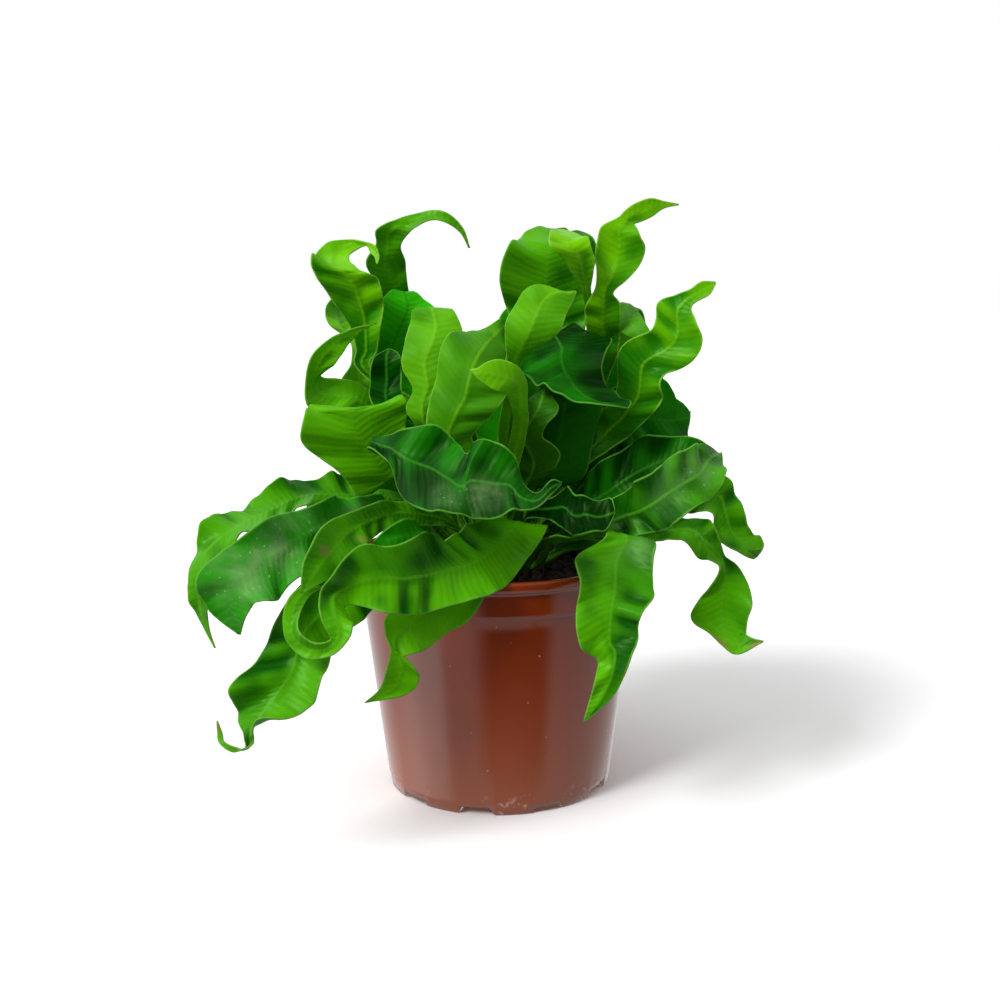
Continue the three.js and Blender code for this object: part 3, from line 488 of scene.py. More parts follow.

# Each frond leaves its ring at an azimuth, has a number of waves as high as its ripple, and passes its
# stations: the midrib's x, y, z and then the vector from the midrib to the edge on the frond's right. Its
# tones say how fresh the green is at the root, middle and tip: below 0 deeper, above 0 brighter. Besides
# the frond's own green they hold painted light and shade: deeper towards the root, where the crown shades
# it, brighter on fronds that stand in light and deeper on those in shade.
frondKeys = ("ring", "azimuth", "waves", "ripple", "slot", "tonesAndShading", "stations")
fronds = {
    "front_sweep": ("low", 281, 5, 2.9, "leaf_mid", (0.1, 0.15, 0.2), [
        (9, -29, 114, -10.5, 3, 1.5), (1, -44, 109, -11.5, 4, 5.5), (-8, -60, 106, -9, 6, 9),
        (-19, -72, 105, -6, 4, 12.5), (-31, -83, 105, -4.5, 3, 12), (-43, -89, 106, -3.5, 1, 11.5),
        (-55, -92, 102, -4, -1, 5), (-56, -96, 98, -5.5, -0.5, 2.5), (-55, -100, 94, -5.5, 0, 1),
        (-54, -102, 89, -3.5, 0, 0.7), (-57, -102, 85, -0.6, 0, 2.5), (-64, -101, 84, 1, 0, 3),
        (-70, -99, 88, 2.5, 0, 2.5), (-71, -96, 94, 3, 0, 0.5), (-69, -93, 100, 3, 0, -0.7),
        (-65, -90, 103, 1.5, 0, -1.5), (-60, -88, 103, 0.3, 0, -0.3)]),
    "lower_left_hang": ("low", 244, 6, 2.9, "leaf_mid", (0.05, 0.1, 0.1), [
        (-22, -40, 105, -4, 3, 3), (-49, -67, 100, -6, 1, 8.5), (-62, -79, 92, -8, 1, 8.5),
        (-69, -85, 85, -10, 1, 5.5), (-72, -92, 75, -12, 1.5, 2.5), (-78, -97, 67, -15, 3, 1),
        (-83, -99, 60, -9.5, 3, 0.2), (-86, -100, 56, -3, 2, -3), (-87, -98, 49, -1, 1, -1.5),
        (-92, -97, 47, 0.5, 0, 1), (-97, -95, 49, 1, 0, 0.3), (-98, -93, 52, 1, 0, -0.3),
        (-99, -92, 56, 0.3, 0, 0.2)]),
    "left_arch_front": ("low", 209, 6, 2.9, "leaf_dark", (0.8, 0.95, 0.9), [
        (-31, -20, 113, -1, 5, 3.5), (-49, -46, 121, -2, 5, 6), (-63, -64, 119, -1.5, 4, 9.5),
        (-74, -79, 115, -4.5, 3, 10.5), (-84, -88, 110, -7.5, 3, 10), (-93, -93, 103, -10, 1.5, 4.5),
        (-93, -93, 95, -6.5, 1.5, 0), (-90, -91, 87, -0.5, 0, 0)]),
    "left_arch_back": ("low", 187, 6, 2.6, "leaf_mid", (0.1, 0.1, 0.15), [
        (-34, -6, 117, 0, 6, 3), (-57, -22, 125, -2, 10, 3.5), (-74, -35, 127, -2, 11, 5),
        (-85, -47, 124, -4, 10, 4), (-97, -57, 119, -5, 9, 3), (-106, -63, 112, -5, 6, 3.5),
        (-109, -66, 102, -4.5, 4, 0), (-109, -66, 91, -3, 2, 0), (-107, -65, 82, -1.2, 0.5, 0),
        (-104, -66, 75, -0.4, 0, 0)]),
    "left_broad": ("middle", 200, 4, 1.6, "leaf_mid", (0.15, 0.4, 0.5), [
        (-23, -10, 119, 3, 2, 2.5), (-36, -15, 131, 9, 2, 6), (-41, -26, 129, 13, 4, 4.5),
        (-47, -32, 141, 14.5, 5, 4.5), (-53, -36, 152, 19.5, 4.5, 3.5), (-54, -36, 160, 19, 3.5, 1.5),
        (-54, -32, 162, 17.5, 2.5, 0.5), (-53, -28, 161, 15.5, 2, 0.2), (-54, -23, 157, 0.4, 0, 0)]),
    "left_short_curl": ("middle", 228, 4, 1.4, "leaf_mid", (0.0, 0.1, 0.1), [
        (-22, -30, 116, -1, 3, 3), (-38, -52, 122, -1, 3, 4.5), (-50, -73, 121, -3.5, 0, 5.5),
        (-57, -87, 116, -6, -1.5, 5.5), (-62, -93, 110, -4.5, -1.5, 3), (-67, -96, 103, -0.5, 0, 0)]),
    "front_left_dark": ("low", 227, 3, 1.2, "leaf_dark", (0.3, 0.5, 0.6), [
        (-23, -25, 107, -2, 2, 1), (-29, -38, 111, -2, 2, 1), (-26, -57, 116, -3, 2, 3),
        (-33, -65, 116, -2, 2, 5.5), (-39, -68, 115, -1.5, 1, 4), (-46, -70, 112, -0.5, 0, 1.5),
        (-51, -71, 111, 0, 0.3, 0.2)]),
    "left_fold_over": ("between", 214, 5, 2.6, "leaf_dark", (-0.25, -0.1, -0.1), [
        (-25, -19, 112, -1, 1, -0.5), (-33, -29, 128, -1.5, 0, -1.5), (-40, -44, 144, -2, -1.5, -2.5),
        (-46, -53, 149, 0.1, -4, -2), (-38, -62, 148, -1, -4, -4.5), (-31, -68, 145, -4, -7, -9.5),
        (-23, -73, 143, -4, -10, -13), (-17, -78, 140, -3, -10, -12), (-13, -82, 138, -2, -8.5, -9.5),
        (-9, -82, 140, -1.5, -9, -11), (-1, -82, 139, -2, -8.5, -11), (5, -84, 138, -2, -6.5, -9.5),
        (9, -87, 134, -1, -4, -4.5), (14, -88, 133, -0.6, -2.5, -2.5), (19, -86, 137, -0.3, -2, -2.5),
        (23, -82, 138, 0, 0, -0.5)]),
    "left_hook": ("middle", 172, 4, 1.6, "leaf_mid", (0.15, 0.35, 0.5), [
        (-25, 3, 127, 3, 2.5, 3), (-43, 0, 145, 3, 3, 3.5), (-55, -7, 160, 2, 5, 4),
        (-64, -11, 162, 2, 6, 6.5), (-71, -14, 165, 3, 5, 5.5), (-70, -14, 171, 5, 3, 2.5),
        (-67, -14, 177, 4.5, 2, -1.5), (-62, -13, 182, 2.5, 1.5, -2.5), (-58, -12, 185, 1.5, 1, -2),
        (-53, -9, 188, 0.7, 0.5, -1), (-47, -6, 190, 0.3, 0, 0.3)]),
    "left_back_curl": ("middle", 148, 3, 1.2, "leaf_mid", (0.5, 1.6, 2.2), [
        (-27, 16, 126, 3, 4, 2), (-51, 20, 156, 8, 3, 0), (-55, 17, 164, 9, 3, -1),
        (-55, 16, 172, 4.5, 2.5, -1.5), (-57, 17, 181, 3, 1, -0.7), (-63, 16, 188, 5, 1, -0.5),
        (-64, 14, 195, 5, 0.5, -0.5), (-63, 10, 199, 3, 0, -0.4), (-62, 4, 200, 0.3, 0, 0)]),
    "upper_left_funnel": ("high", 172, 4, 1.6, "leaf_bright", (-0.3, -0.1, 0.2), [
        (-12, 2, 130, 2, 3, 1), (-25, 5, 150, 3.5, 2.5, 0), (-52, 4, 170, 3, -0.5, 0),
        (-52, 3, 179, 4.5, 0, -0.4), (-52, 2, 188, 6.5, 0, 0.1), (-54, 0, 198, 10.5, 0, -1),
        (-57, -3, 206, 11.5, 0, -0.7), (-62, -4, 212, 10.5, 0, -1.5), (-65, 4, 215, 7.5, -0.5, -2.5),
        (-63, 12, 219, 4.5, -0.5, -3), (-57, 14, 221, 2, -0.5, -2), (-52, 12, 221, 0.6, 0, -1),
        (-49, 9, 219, -1, 0, -1.5), (-47, 7, 216, -1, 0, -0.4), (-47, 5, 213, -0.3, 0, 0)]),
    "upper_left_horn": ("middle", 124, 4, 1.3, "leaf_mid", (-0.1, 0.0, 0.3), [
        (-18, 26, 130, 5, 2, 0.5), (-31, 36, 158, 7, 2, 1), (-39, 33, 182, 6.5, 1, 1),
        (-41, 22, 202, 5.5, 1, 1.5), (-44, 16, 213, 8, 2, -0.5), (-43, 14, 220, 5, 0, -1),
        (-42, 11, 225, 5.5, 1, -2), (-35, 9, 229, 3.5, -1, -2), (-26, 9, 232, 1, -1, -2),
        (-19, 8, 231, -0.2, -0.5, -2), (-13, 9, 226, -0.6, 0, -1), (-10, 10, 219, -0.4, 0, 0)]),
    "back_left_lobe": ("high", 140, 4, 1.8, "leaf_dark", (1.0, 1.9, 2.0), [
        (-13, 12, 128, 4, 3, 0), (-24, 17, 148, 6, 2, 0), (-44, 15, 171, 6, 1, -0.1),
        (-41, 13, 182, 7.5, 2, -0.6), (-36, 11, 192, 10.5, 3, -1.5), (-35, 12, 197, 10.5, 3.5, -2),
        (-36, 14, 200, 7.5, 2.5, -1), (-37, 16, 202, 4.5, 2, -0.5), (-37, 21, 201, 0.4, 0, 0)]),
    "inner_left": ("high", 204, 3, 1.6, "leaf_dark", (-0.4, -0.45, -0.15), [
        (-12, -4, 126, 3, 2, 1), (-26, -9, 144, 5, 1, 1), (-42, -12, 158, 7, 0, -0.1),
        (-43, -10, 169, 6.5, 0, 1), (-43, -10, 175, 6, 0, 1), (-43, -8, 178, 4.5, 0, 0.7),
        (-42, -6, 180, 0.4, 0, 0)]),
    "middle_left_tall": ("high", 235, 4, 1.4, "leaf_bright", (0.0, 0.05, 0.15), [
        (-9, -12, 124, -3, 1, 0), (-16, -24, 142, -5, 1, 0), (-26, -37, 154, -5, 1, -0.1),
        (-27, -38, 161, -7, 1.5, -1), (-25, -38, 168, -6.5, 1.5, -1), (-26, -36, 176, -9, 2, -1.5),
        (-23, -34, 184, -10, 2.5, 0.7), (-22, -30, 190, -10.5, 2.5, 1), (-24, -26, 195, -8, 1.5, -0.2),
        (-26, -18, 193, -4, 0.5, -0.2), (-26, -12, 192, -0.4, 0, 0)]),
    "middle_bright": ("middle", 253, 4, 2.1, "leaf_bright", (-0.3, -0.15, -0.15), [
        (-9, -26, 122, -4, 1, 0), (-13, -42, 141, -7, 2, 1), (-17, -49, 152, -8, 1, 2.5),
        (-11, -50, 165, -11.5, 2, 5.5), (-8, -47, 176, -12.5, 3, 7.5), (-4, -38, 182, -8, 3.5, 6),
        (0, -26, 186, -3, 2, 3.5), (3, -18, 189, -0.4, 2, 3), (4, -12, 188, -0.3, 0, 0.3)]),
    "middle_shell": ("high", 285, 3, 1.8, "leaf_bright", (-0.3, -0.15, 0.1), [
        (4, -14, 130, -2.5, 0, 0), (5, -24, 150, -4, 0, 0), (7, -34, 173, -2.5, 0, -0.4),
        (10, -44, 183, -6, 0, 0.6), (14, -48, 191, -10, 2, 2.5), (18, -47, 199, -8, 3, 3.5),
        (23, -46, 202, -5.5, 2, 3), (27, -46, 202, -2.5, 0.5, 1), (30, -46, 203, -0.2, 0, 0.3)]),
    "middle_flap": ("high", 260, 3, 1.2, "leaf_bright", (0.0, 0.2, 0.4), [
        (3, -24, 124, -3, 0, 0), (9, -40, 152, -3, 0, 0), (9, -50, 161, -3, -1, 0.1),
        (8, -56, 168, -3.5, -1.5, -2), (6, -60, 172, -2, -1.5, -4.5), (1, -63, 174, -1, -1, -5.5),
        (-3, -64, 175, -0.4, -0.5, -4), (-6, -64, 175, 0, 0, -2), (-9, -62, 176, 0, 0, -0.3)]),
    "upper_middle_dome": ("high", 70, 4, 2.3, "leaf_mid", (-0.2, 0.1, 0.3), [
        (6, 10, 135, 5, 0, 0), (12, 13, 160, 9, 0, 0), (20, 10, 185, 15, 1, -0.2),
        (21, 6, 197, 16.5, 2, 0.4), (21, 2, 208, 18, 1.5, -0.2), (22, 2, 217, 18, 2, -0.6),
        (23, 6, 222, 15.5, 2, -0.5), (23, 14, 225, 11, 1.5, -0.5), (24, 21, 227, 6, 1, -0.2),
        (24, 29, 226, 0.4, 0, 0)]),
    "upper_middle_curl": ("high", 5, 3, 1.3, "leaf_bright", (-0.1, 0.25, 0.4), [
        (20, 4, 140, 1, -3, 0), (30, 6, 165, 2.5, -2, 0), (39, 6, 184, 2, 0, -0.2),
        (38, 0, 195, 2, 0.5, -0.4), (36, -8, 202, 2, 1, 0.1), (34, -16, 209, 4, 1.5, 0.5),
        (33, -20, 214, 6, 2.5, -0.1), (30, -22, 219, 8, 4, 0.1), (29, -18, 223, 7.5, 3.5, -0.2),
        (27, -8, 225, 4.5, 2, -0.4), (27, 0, 226, 0.3, 0, 0)]),
    "right_spiral_tall": ("high", 35, 4, 1.6, "leaf_bright", (-0.25, 0.05, 0.25), [
        (28, 5, 141, 3, -1, -1), (40, 5, 164, 5, 1, -1), (43, 4, 179, 6.5, -0.5, -0.4),
        (43, -3, 188, 7, 0, -0.1), (43, -8, 196, 7, 0, 0.3), (43, -10, 202, 3.5, -0.5, -1),
        (46, -10, 208, 6, -0.5, -1.5), (48, -8, 214, 9, -0.5, -1), (49, -8, 220, 9.5, 0, -1),
        (49, -8, 225, 7.5, 0.5, -2), (52, -6, 229, 3, 0.5, -1.5), (53, -6, 230, 2, 0.5, -2.5),
        (57, -4, 232, 1.5, 0.5, -3.5), (62, -3, 234, 0.6, 0, -3.5), (67, -1, 235, 0.2, 0, -1.5),
        (73, 0, 235, 0, 0, -0.3)]),
    "right_spiral_low": ("middle", 349, 4, 1.8, "leaf_bright", (-0.4, -0.2, 0.15), [
        (26, -4, 126, 1, -4, -2), (42, -9, 144, 4, -5, -4), (55, -17, 160, 9, -3, -1.5),
        (57, -19, 174, 8.5, -5, -4.5), (66, -21, 180, 9, -5, -4.5), (70, -22, 186, 9, -4, -2.5),
        (70, -21, 194, 7.5, -3, -3.5), (73, -20, 198, 2.5, -2, -3), (76, -21, 200, 1, -1, -2.5),
        (81, -21, 203, 1.5, -1, -2.5), (85, -20, 205, 0.2, 0, -0.4)]),
    "right_shelf": ("high", 335, 4, 2.1, "leaf_dark", (-0.1, -0.1, 0.0), [
        (12, -4, 138, -4, 0, 0), (18, 4, 166, -8, -1, 0), (20, 1, 188, -13, -3, 0),
        (26, -17, 183, -18, -5, -1), (26, -24, 177, -17, -6, -2), (29, -31, 170, -13, -5, -2),
        (34, -39, 165, -12, -3, -0.3), (43, -45, 162, -7.5, -1, 0.2), (49, -47, 160, -0.4, 0, 0)]),
    "centre_curl": ("middle", 278, 3, 1.3, "leaf_mid", (-0.9, -0.9, -0.8), [
        (10, -20, 124, -4, 0, 0), (15, -28, 138, -9, 3, -1), (12, -33, 148, -6, 4, -1),
        (17, -33, 158, -7, 4, 0), (19, -29, 166, -0.4, 0, 0)]),
    "centre_dark": ("high", 310, 3, 1.8, "leaf_dark", (0.1, 0.2, 0.2), [
        (11, -8, 124, -2, -1, 0), (22, -14, 128, -10.5, 0.5, 0.4), (24, -17, 141, -13, 0, 0.7),
        (26, -18, 154, -15.5, -1, 1), (27, -18, 161, -13, -2, 1.5), (26, -20, 166, -0.4, 0, 0)]),
    "right_lobe": ("middle", 327, 4, 2.1, "leaf_dark", (-0.1, 0.05, 0.05), [
        (27, -15, 113, 1, -3, -5), (41, -22, 123, 2, -4, -10), (55, -26, 133, 2, -4, -11),
        (68, -28, 139, 1, -3, -8), (77, -28, 142, 0, -1, -4), (83, -26, 142, 0, 0, -0.5)]),
    "inner_right": ("middle", 31, 4, 1.8, "leaf_dark", (0.2, 0.6, 0.7), [
        (20, 12, 120, 5, 0, -2), (32, 18, 139, 11, 0, -5), (42, 19, 156, 13, -1, -6),
        (48, 19, 168, 9, -1, -4), (52, 21, 178, 0.5, 0, -0.3)]),
    "inner_middle": ("high", 105, 4, 2.1, "leaf_dark", (0.3, 0.8, 0.9), [
        (1, 14, 130, 8, 0, 0), (5, 19, 152, 13, 0, 0), (8, 22, 172, 15, 1, 0), (9, 27, 188, 9, 1, 0),
        (9, 36, 197, 0.5, 0, 0)]),
    "right_back_flap": ("middle", 53, 4, 1.6, "leaf_mid", (0.0, 0.25, 0.5), [
        (24, 24, 130, 5, -2, 0), (38, 34, 154, 7, -3, 0), (57, 25, 170, 8, -1, 0),
        (56, 21, 183, 7, -1, 0), (56, 17, 192, 5, 1, -0.1), (54, 8, 195, 3.5, 0, -0.6),
        (54, 0, 190, 5, -2, 1), (57, -5, 185, 4.5, -1, 1), (64, -6, 181, 0.3, 0, 0)]),
    "right_dark": ("middle", 10, 5, 2.6, "leaf_dark", (-0.1, 0.05, 0.15), [
        (28, 2, 116, 1, -3, -2), (44, 2, 128, 3, -5, -10), (51, 2, 149, 3, -8, -12.5),
        (62, 2, 151, 2, -10, -15), (71, 3, 150, 1.5, -9, -14), (76, 4, 150, 1, -6, -8.5),
        (79, 7, 150, 0.1, -3, -3), (80, 10, 152, 0.3, 0, 0)]),
    "right_sheen": ("low", 319, 5, 2.6, "leaf_mid", (-0.3, -0.1, 0.0), [
        (24, -24, 108, 0.5, -3, -2), (42, -36, 115, 2, -2, -7.5), (55, -47, 122, 2.5, -3, -9),
        (65, -53, 130, 5, -3, -9), (75, -52, 136, 5, -3, -8), (81, -44, 141, 4, -3, -5.5),
        (86, -33, 141, 0.6, 0, 0.4)]),
    "right_droop": ("low", 5, 5, 2.1, "leaf_mid", (0.05, 0.15, 0.3), [
        (36, 2, 108, 0, -2, -3), (62, -4, 119, 1, -1, -7.5), (86, -14, 122, -4, -2, -7.5),
        (91, -17, 116, -5, -3, -4), (93, -19, 108, -6, -3, -3), (97, -21, 104, -5, -3, -3),
        (101, -23, 102, -3.5, -3, -4), (103, -25, 100, -2, -1, -2), (98, -30, 102, -0.4, 0, 0)]),
    "right_hang": ("low", 341, 5, 2.3, "leaf_mid", (0.0, 0.15, 0.35), [
        (34, -10, 103, 0.5, -3, -3.5), (73, -21, 109, -4, -3, -4.5), (82, -28, 105, -3.5, -4, -4.5),
        (87, -34, 99, -1.5, -2, -2.5), (88, -35, 92, -6.5, -1, -3.5), (87, -36, 82, -11, 0, -2),
        (87, -37, 76, -10.5, 1, -1), (89, -39, 71, -7.5, 1, 0), (91, -41, 69, -4.5, -1, -2.5),
        (95, -43, 67, -3, -1, -3), (102, -44, 69, -0.2, 0, -0.4)]),
    "front_hang": ("low", 300, 6, 2.1, "leaf_mid", (-0.05, 0.0, 0.3), [
        (19, -31, 106, -3, -2, 1), (47, -51, 114, -7, -1, 1), (44, -62, 106, -14, 0, 1),
        (43, -69, 97, -14, -1, 1.5), (41, -74, 89, -12, 0, -0.4), (40, -77, 79, -10.5, 1, -2.5),
        (42, -78, 75, -7, 2, -3), (41, -79, 68, -5.5, 1, -1), (37, -80, 59, -4, 0.5, -0.1),
        (31, -80, 50, -0.4, 0, 0)]),
    "front_low": ("low", 262, 4, 1.8, "leaf_mid", (0.5, 0.6, 0.7), [
        (-6, -44, 101, -4, -1, 0), (-3, -57, 101, -3, 1, 1), (-14, -65, 92, -3.5, 1, 7),
        (-24, -71, 89, -5.5, 1, 8.5), (-34, -75, 83, -5.5, 1, 7), (-37, -78, 79, -3, 0.5, 4.5),
        (-35, -79, 75, -3.5, 0, 2), (-34, -80, 69, -6, 0, 2), (-38, -80, 62, -5, 0, 1),
        (-48, -80, 58, -0.4, 0, 0)]),
    "front_crinkle": ("middle", 303, 4, 1.4, "leaf_dark", (-0.55, -0.55, -0.35), [
        (13, -20, 116, -1, -2, -3), (21, -34, 120, -0.3, -2.5, -4), (25, -42, 122, -1, -4, -7.5),
        (29, -47, 120, -1, -4.5, -6.5), (33, -50, 121, -0.5, -4.5, -6.5),
        (38, -51, 120, -0.5, -4, -5.5), (42, -51, 121, -1, -3, -5.5), (44, -53, 122, 0, 0, -0.5)]),
}

# Fronds of the far side: up along the azimuth to a crest, over, and down to the tip.
farKeys = ("ring", "azimuth", "crest", "crestHeight", "reach", "end", "half", "slot")
farFronds = {
    "far_right_low": ("low", 30, 44, 113, 90, 92, 13, "leaf_mid"),
    "far_right": ("low", 55, 42, 125, 94, 98, 14, "leaf_dark"),
    "far_middle_right": ("low", 81, 46, 112, 100, 84, 14, "leaf_mid"),
    "far_middle_left": ("low", 107, 44, 124, 98, 98, 14, "leaf_dark"),
    "far_left": ("low", 134, 46, 112, 96, 86, 14, "leaf_mid"),
    "far_left_low": ("low", 160, 46, 122, 90, 102, 12, "leaf_dark"),
    "far_upright_right": ("middle", 76, 40, 182, 74, 170, 14, "leaf_mid"),
    "far_upright_left": ("middle", 100, 42, 172, 78, 156, 14, "leaf_mid"),
    "back_right": ("between", 42, 42, 138, 84, 122, 12, "leaf_mid"),
    "back_middle_right": ("between", 69, 44, 149, 90, 118, 13, "leaf_dark"),
    "back_middle_left": ("between", 94, 44, 138, 88, 122, 13, "leaf_mid"),
    "back_left": ("between", 120, 44, 150, 86, 120, 13, "leaf_dark"),
    "side_left": ("between", 147, 42, 141, 76, 124, 12, "leaf_mid"),
}


# Painted light and shade of the folded blade: how much brighter the half on the frond's right is painted
# than the midrib, and the other half deeper.
halfShading = {
    "front_sweep": -0.14, "front_hang": 0.2, "middle_bright": 0.1, "upper_middle_dome": -0.14,
    "right_spiral_tall": -0.16, "right_shelf": 0.12, "left_broad": -0.1, "right_hang": 0.1,
    "upper_left_funnel": 0.12, "middle_shell": 0.1, "lower_left_hang": -0.08, "left_fold_over": -0.12,
}
# Painted sheen, with specks of dried water in it: place along the frond, place across it from -1 to 1,
# spread along, spread across, strength.
leafSheenAndWater = {
    "left_arch_front": [(0.76, 0.0, 0.16, 1.0, 1.2), (0.42, 0.3, 0.12, 0.5, 0.6)],
    "left_fold_over": [(0.81, 0.3, 0.05, 0.35, 0.9), (0.72, 0.5, 0.03, 0.3, 0.6)],
    "left_hook": [(0.35, 0.2, 0.07, 0.6, 0.8)], "left_back_curl": [(0.8, 0.0, 0.2, 1.2, 1.3)],
    "right_sheen": [(0.78, 0.0, 0.13, 0.8, 0.75), (0.45, 0.4, 0.06, 0.4, 0.5)],
    "right_shelf": [(0.55, 0.1, 0.10, 0.6, 0.25)], "right_back_flap": [(0.8, 0.0, 0.1, 1.2, 1.0)],
    "front_hang": [(0.50, -0.5, 0.07, 0.5, 0.55)],
}
# Brown nicks: place along the frond, place across it from -1 to 1, and radius.
leafNicks = {
    "left_short_curl": [(0.86, 0.3, 1.8), (0.72, -0.7, 1.3)],
    "right_hang": [(0.98, 0.0, 2.2), (0.9, 0.9, 1.6)],
    "lower_left_hang": [(0.99, 0.0, 2.0)],
}


# A smooth curve through every point, with half the chord of a point's neighbours as its slope there.
def throughPoints(points, t):
    ends = np.vstack([2 * points[0] - points[1], points, 2 * points[-1] - points[-2]])
    last = len(points) - 1
    k = np.minimum((t * last).astype(int), last - 1)
    s = (t * last - k)[:, None]
    a, b, c, d = ends[k], ends[k + 1], ends[k + 2], ends[k + 3]
    out, into = (c - a) / 2, (d - b) / 2
    place = (2 * s**3 - 3 * s**2 + 1) * b + (s**3 - 2 * s**2 + s) * out
    place = place + (3 * s**2 - 2 * s**3) * c + (s**3 - s**2) * into
    slope = 6 * (s**2 - s) * (b - c) + (3 * s**2 - 4 * s + 1) * out + (3 * s**2 - 2 * s) * into
    return place, slope


# Where a frond starts on its ring, the way it leaves, and half the stalk's width to its right.
def rootOf(frond):
    ring = stalkRings[frond["ring"]]
    turn, rise = math.radians(frond["azimuth"]), math.radians(ring["rise"])
    c, s = math.cos(turn), math.sin(turn)
    start = np.array([ring["radius"] * c, ring["radius"] * s, ring["height"]])
    way = np.array([math.cos(rise) * c, math.cos(rise) * s, math.sin(rise)])
    right = np.array([ring["half"] * s, -ring["half"] * c, 0.0])
    return start, way, right


# Stations of a frond on the far side, each by its way out along the azimuth, its height and its share of
# the half-width: two up to the crest, two over it at nearly full width, and two down to the tip.
def farStations(frond, foot):
    turn = math.radians(frond["azimuth"])
    crest, top, reach = frond["crest"], frond["crestHeight"], frond["reach"]
    climb, drop, out = top - foot, top - frond["end"], reach - crest
    marks = [(crest * 0.74, foot + climb * 0.42, 0.45), (crest, foot + climb * 0.8, 0.85),
             (crest + out * 0.33, top, 1), (crest + out * 0.66, top - drop * 0.22, 0.86),
             (crest + out * 0.9, top - drop * 0.62, 0.5), (reach, frond["end"], 0.04)]
    c, s = math.cos(turn), math.sin(turn)
    return [(r * c, r * s, z, frond["half"] * w * s, -frond["half"] * w * c, 0) for r, z, w in marks]


# The blade's middle: midrib(u) + v * edge(u), raised by waves ripple * |v|^rise * sin(2 pi waves (u - lag))
# that grow from the midrib to the margins and lag towards them, with finer waves on top, and sunk to a
# gutter along the midrib. The side folds are a sine of the way along the frond, bent by a slower sine and
# roughened by a finer one. They swell and fade along the blade and are flat at the midrib.
def bladeMiddle(frond, u, v, values):
    start, way, right = rootOf(frond)
    rows = np.array(frond["stations"], float)
    line = np.vstack([start, start + way * values["rootLength"], rows[:, :3]])
    edge = np.vstack([right, right, rows[:, 3:]])
    fine = np.linspace(0, 1, 401)
    placed, _ = throughPoints(line, fine)
    gone = np.concatenate([[0], np.cumsum(np.linalg.norm(np.diff(placed, axis=0), axis=1))])
    length = gone[-1]
    t = np.interp(u * length, gone, fine)
    point, ahead = throughPoints(line, t)
    side, _ = throughPoints(edge, t)
    half = np.linalg.norm(side, axis=1)[:, None]
    up = np.cross(side, ahead)
    up = up / np.linalg.norm(up, axis=1)[:, None]

    u, v = u[:, None], v[None, :]
    out = np.abs(v)
    live = smooth(*values["start"], u) * (1 - smooth(values["end"], 1, u))
    live = live * np.minimum(1, half / values["fullHalf"])
    shift = np.where(v < 0, values["leftShift"], 0.0)
    seed = frond["azimuth"]
    turn = 2 * np.pi * frond["waves"] * (u - values["slant"] * half * out / length) + shift
    wave = frond["ripple"] * out**values["waveRise"] * np.sin(turn) * live
    finer = np.sin(2.37 * turn + seed) * 0.6 + np.sin(4.1 * turn + 2.1 * seed) * 0.4
    wave = wave + frond["ripple"] * values["crinkle"] * out**values["crinkleRise"] * finer * live
    run = (u * length - 0.5 * out * half) / values["foldSpacing"]
    folds = np.sin(2 * np.pi * run + seed + shift + 1.5 * np.sin(1.7 * run + seed + 0.5 * shift))
    folds = 0.95 * folds + 0.16 * np.sin(4.6 * np.pi * run + 2 * seed - shift) * out
    strong = 0.52 + 0.48 * np.sin(1.1 * run + 2 * seed + 1.6 * shift)
    folds = strong * folds * live * np.minimum(1, out * (1.3 - out) * 2.4)
    wave = wave + values["fold"] * folds
    dip = values["gutter"] * half * (v**2 - 1) * smooth(*values["gutterStart"], u)
    spread = 1 + values["sway"] * np.cos(turn) * live
    middle = point[:, None] + side[:, None] * (v * spread)[..., None]
    middle = middle + up[:, None] * (wave + dip)[..., None]
    return middle, half, length, folds


# Columns of the upper face, and then those of the lower one backwards, without the two margins they share.
def bothFaces(upper, lower):
    return np.concatenate([upper, lower[:, -2:0:-1]], axis=1)


# Three values side by side at every point of a grid, and none at the two end points.
def vectorsOn(shape, *parts):
    grid = np.stack([np.broadcast_to(part, shape) for part in parts], axis=-1)
    return np.vstack([grid.reshape(-1, 3), np.zeros((2, 3))])


# Where on the leaf each point lies, how its green is with its painted light and shade, and its painted
# sheen with specks of dried water and its nicks: each sheen or nick is exp(-d^2) of the distance d from its
# place, measured in its spreads.
def markFrond(piece, name, tonesAndShading, u, v, length, half, folds):
    across = bothFaces(v[None], v[None])
    side = bothFaces(np.ones((1, len(v))), -np.ones((1, len(v))))
    side[0, [0, len(v) - 1]] = 0
    shape = (len(u), across.shape[1])
    u = u[:, None]
    # Tones along the frond: its own green, with painted shade towards the root and painted light and shade.
    tone = np.interp(u, [0.15, 0.55, 0.95], tonesAndShading)
    # One half of the blade painted lighter and the other darker: painted light and shade across the fold.
    tone = tone + halfShading.get(name, 0) * np.clip(across * 3, -1, 1)
    sheenAndWater, brown = np.zeros(shape), np.zeros(shape)
    for at, aside, spread, breadth, strength in leafSheenAndWater.get(name, ()):
        away = ((u - at) / spread)**2 + ((across - aside) / breadth)**2
        sheenAndWater = np.maximum(sheenAndWater, strength * np.exp(-away))
    for at, aside, width in leafNicks.get(name, ()):
        away = ((u - at) * length)**2 + ((across - aside) * half)**2
        brown = np.maximum(brown, np.exp(-away / width**2))
    addAttribute(piece, "leafPlace", vectorsOn(shape, u * length, across * half, half))
    addAttribute(piece, "leafLook", vectorsOn(shape, side, tone, bothFaces(folds, folds)))
    addAttribute(piece, "leafMarks", vectorsOn(shape, sheenAndWater, brown, 0))


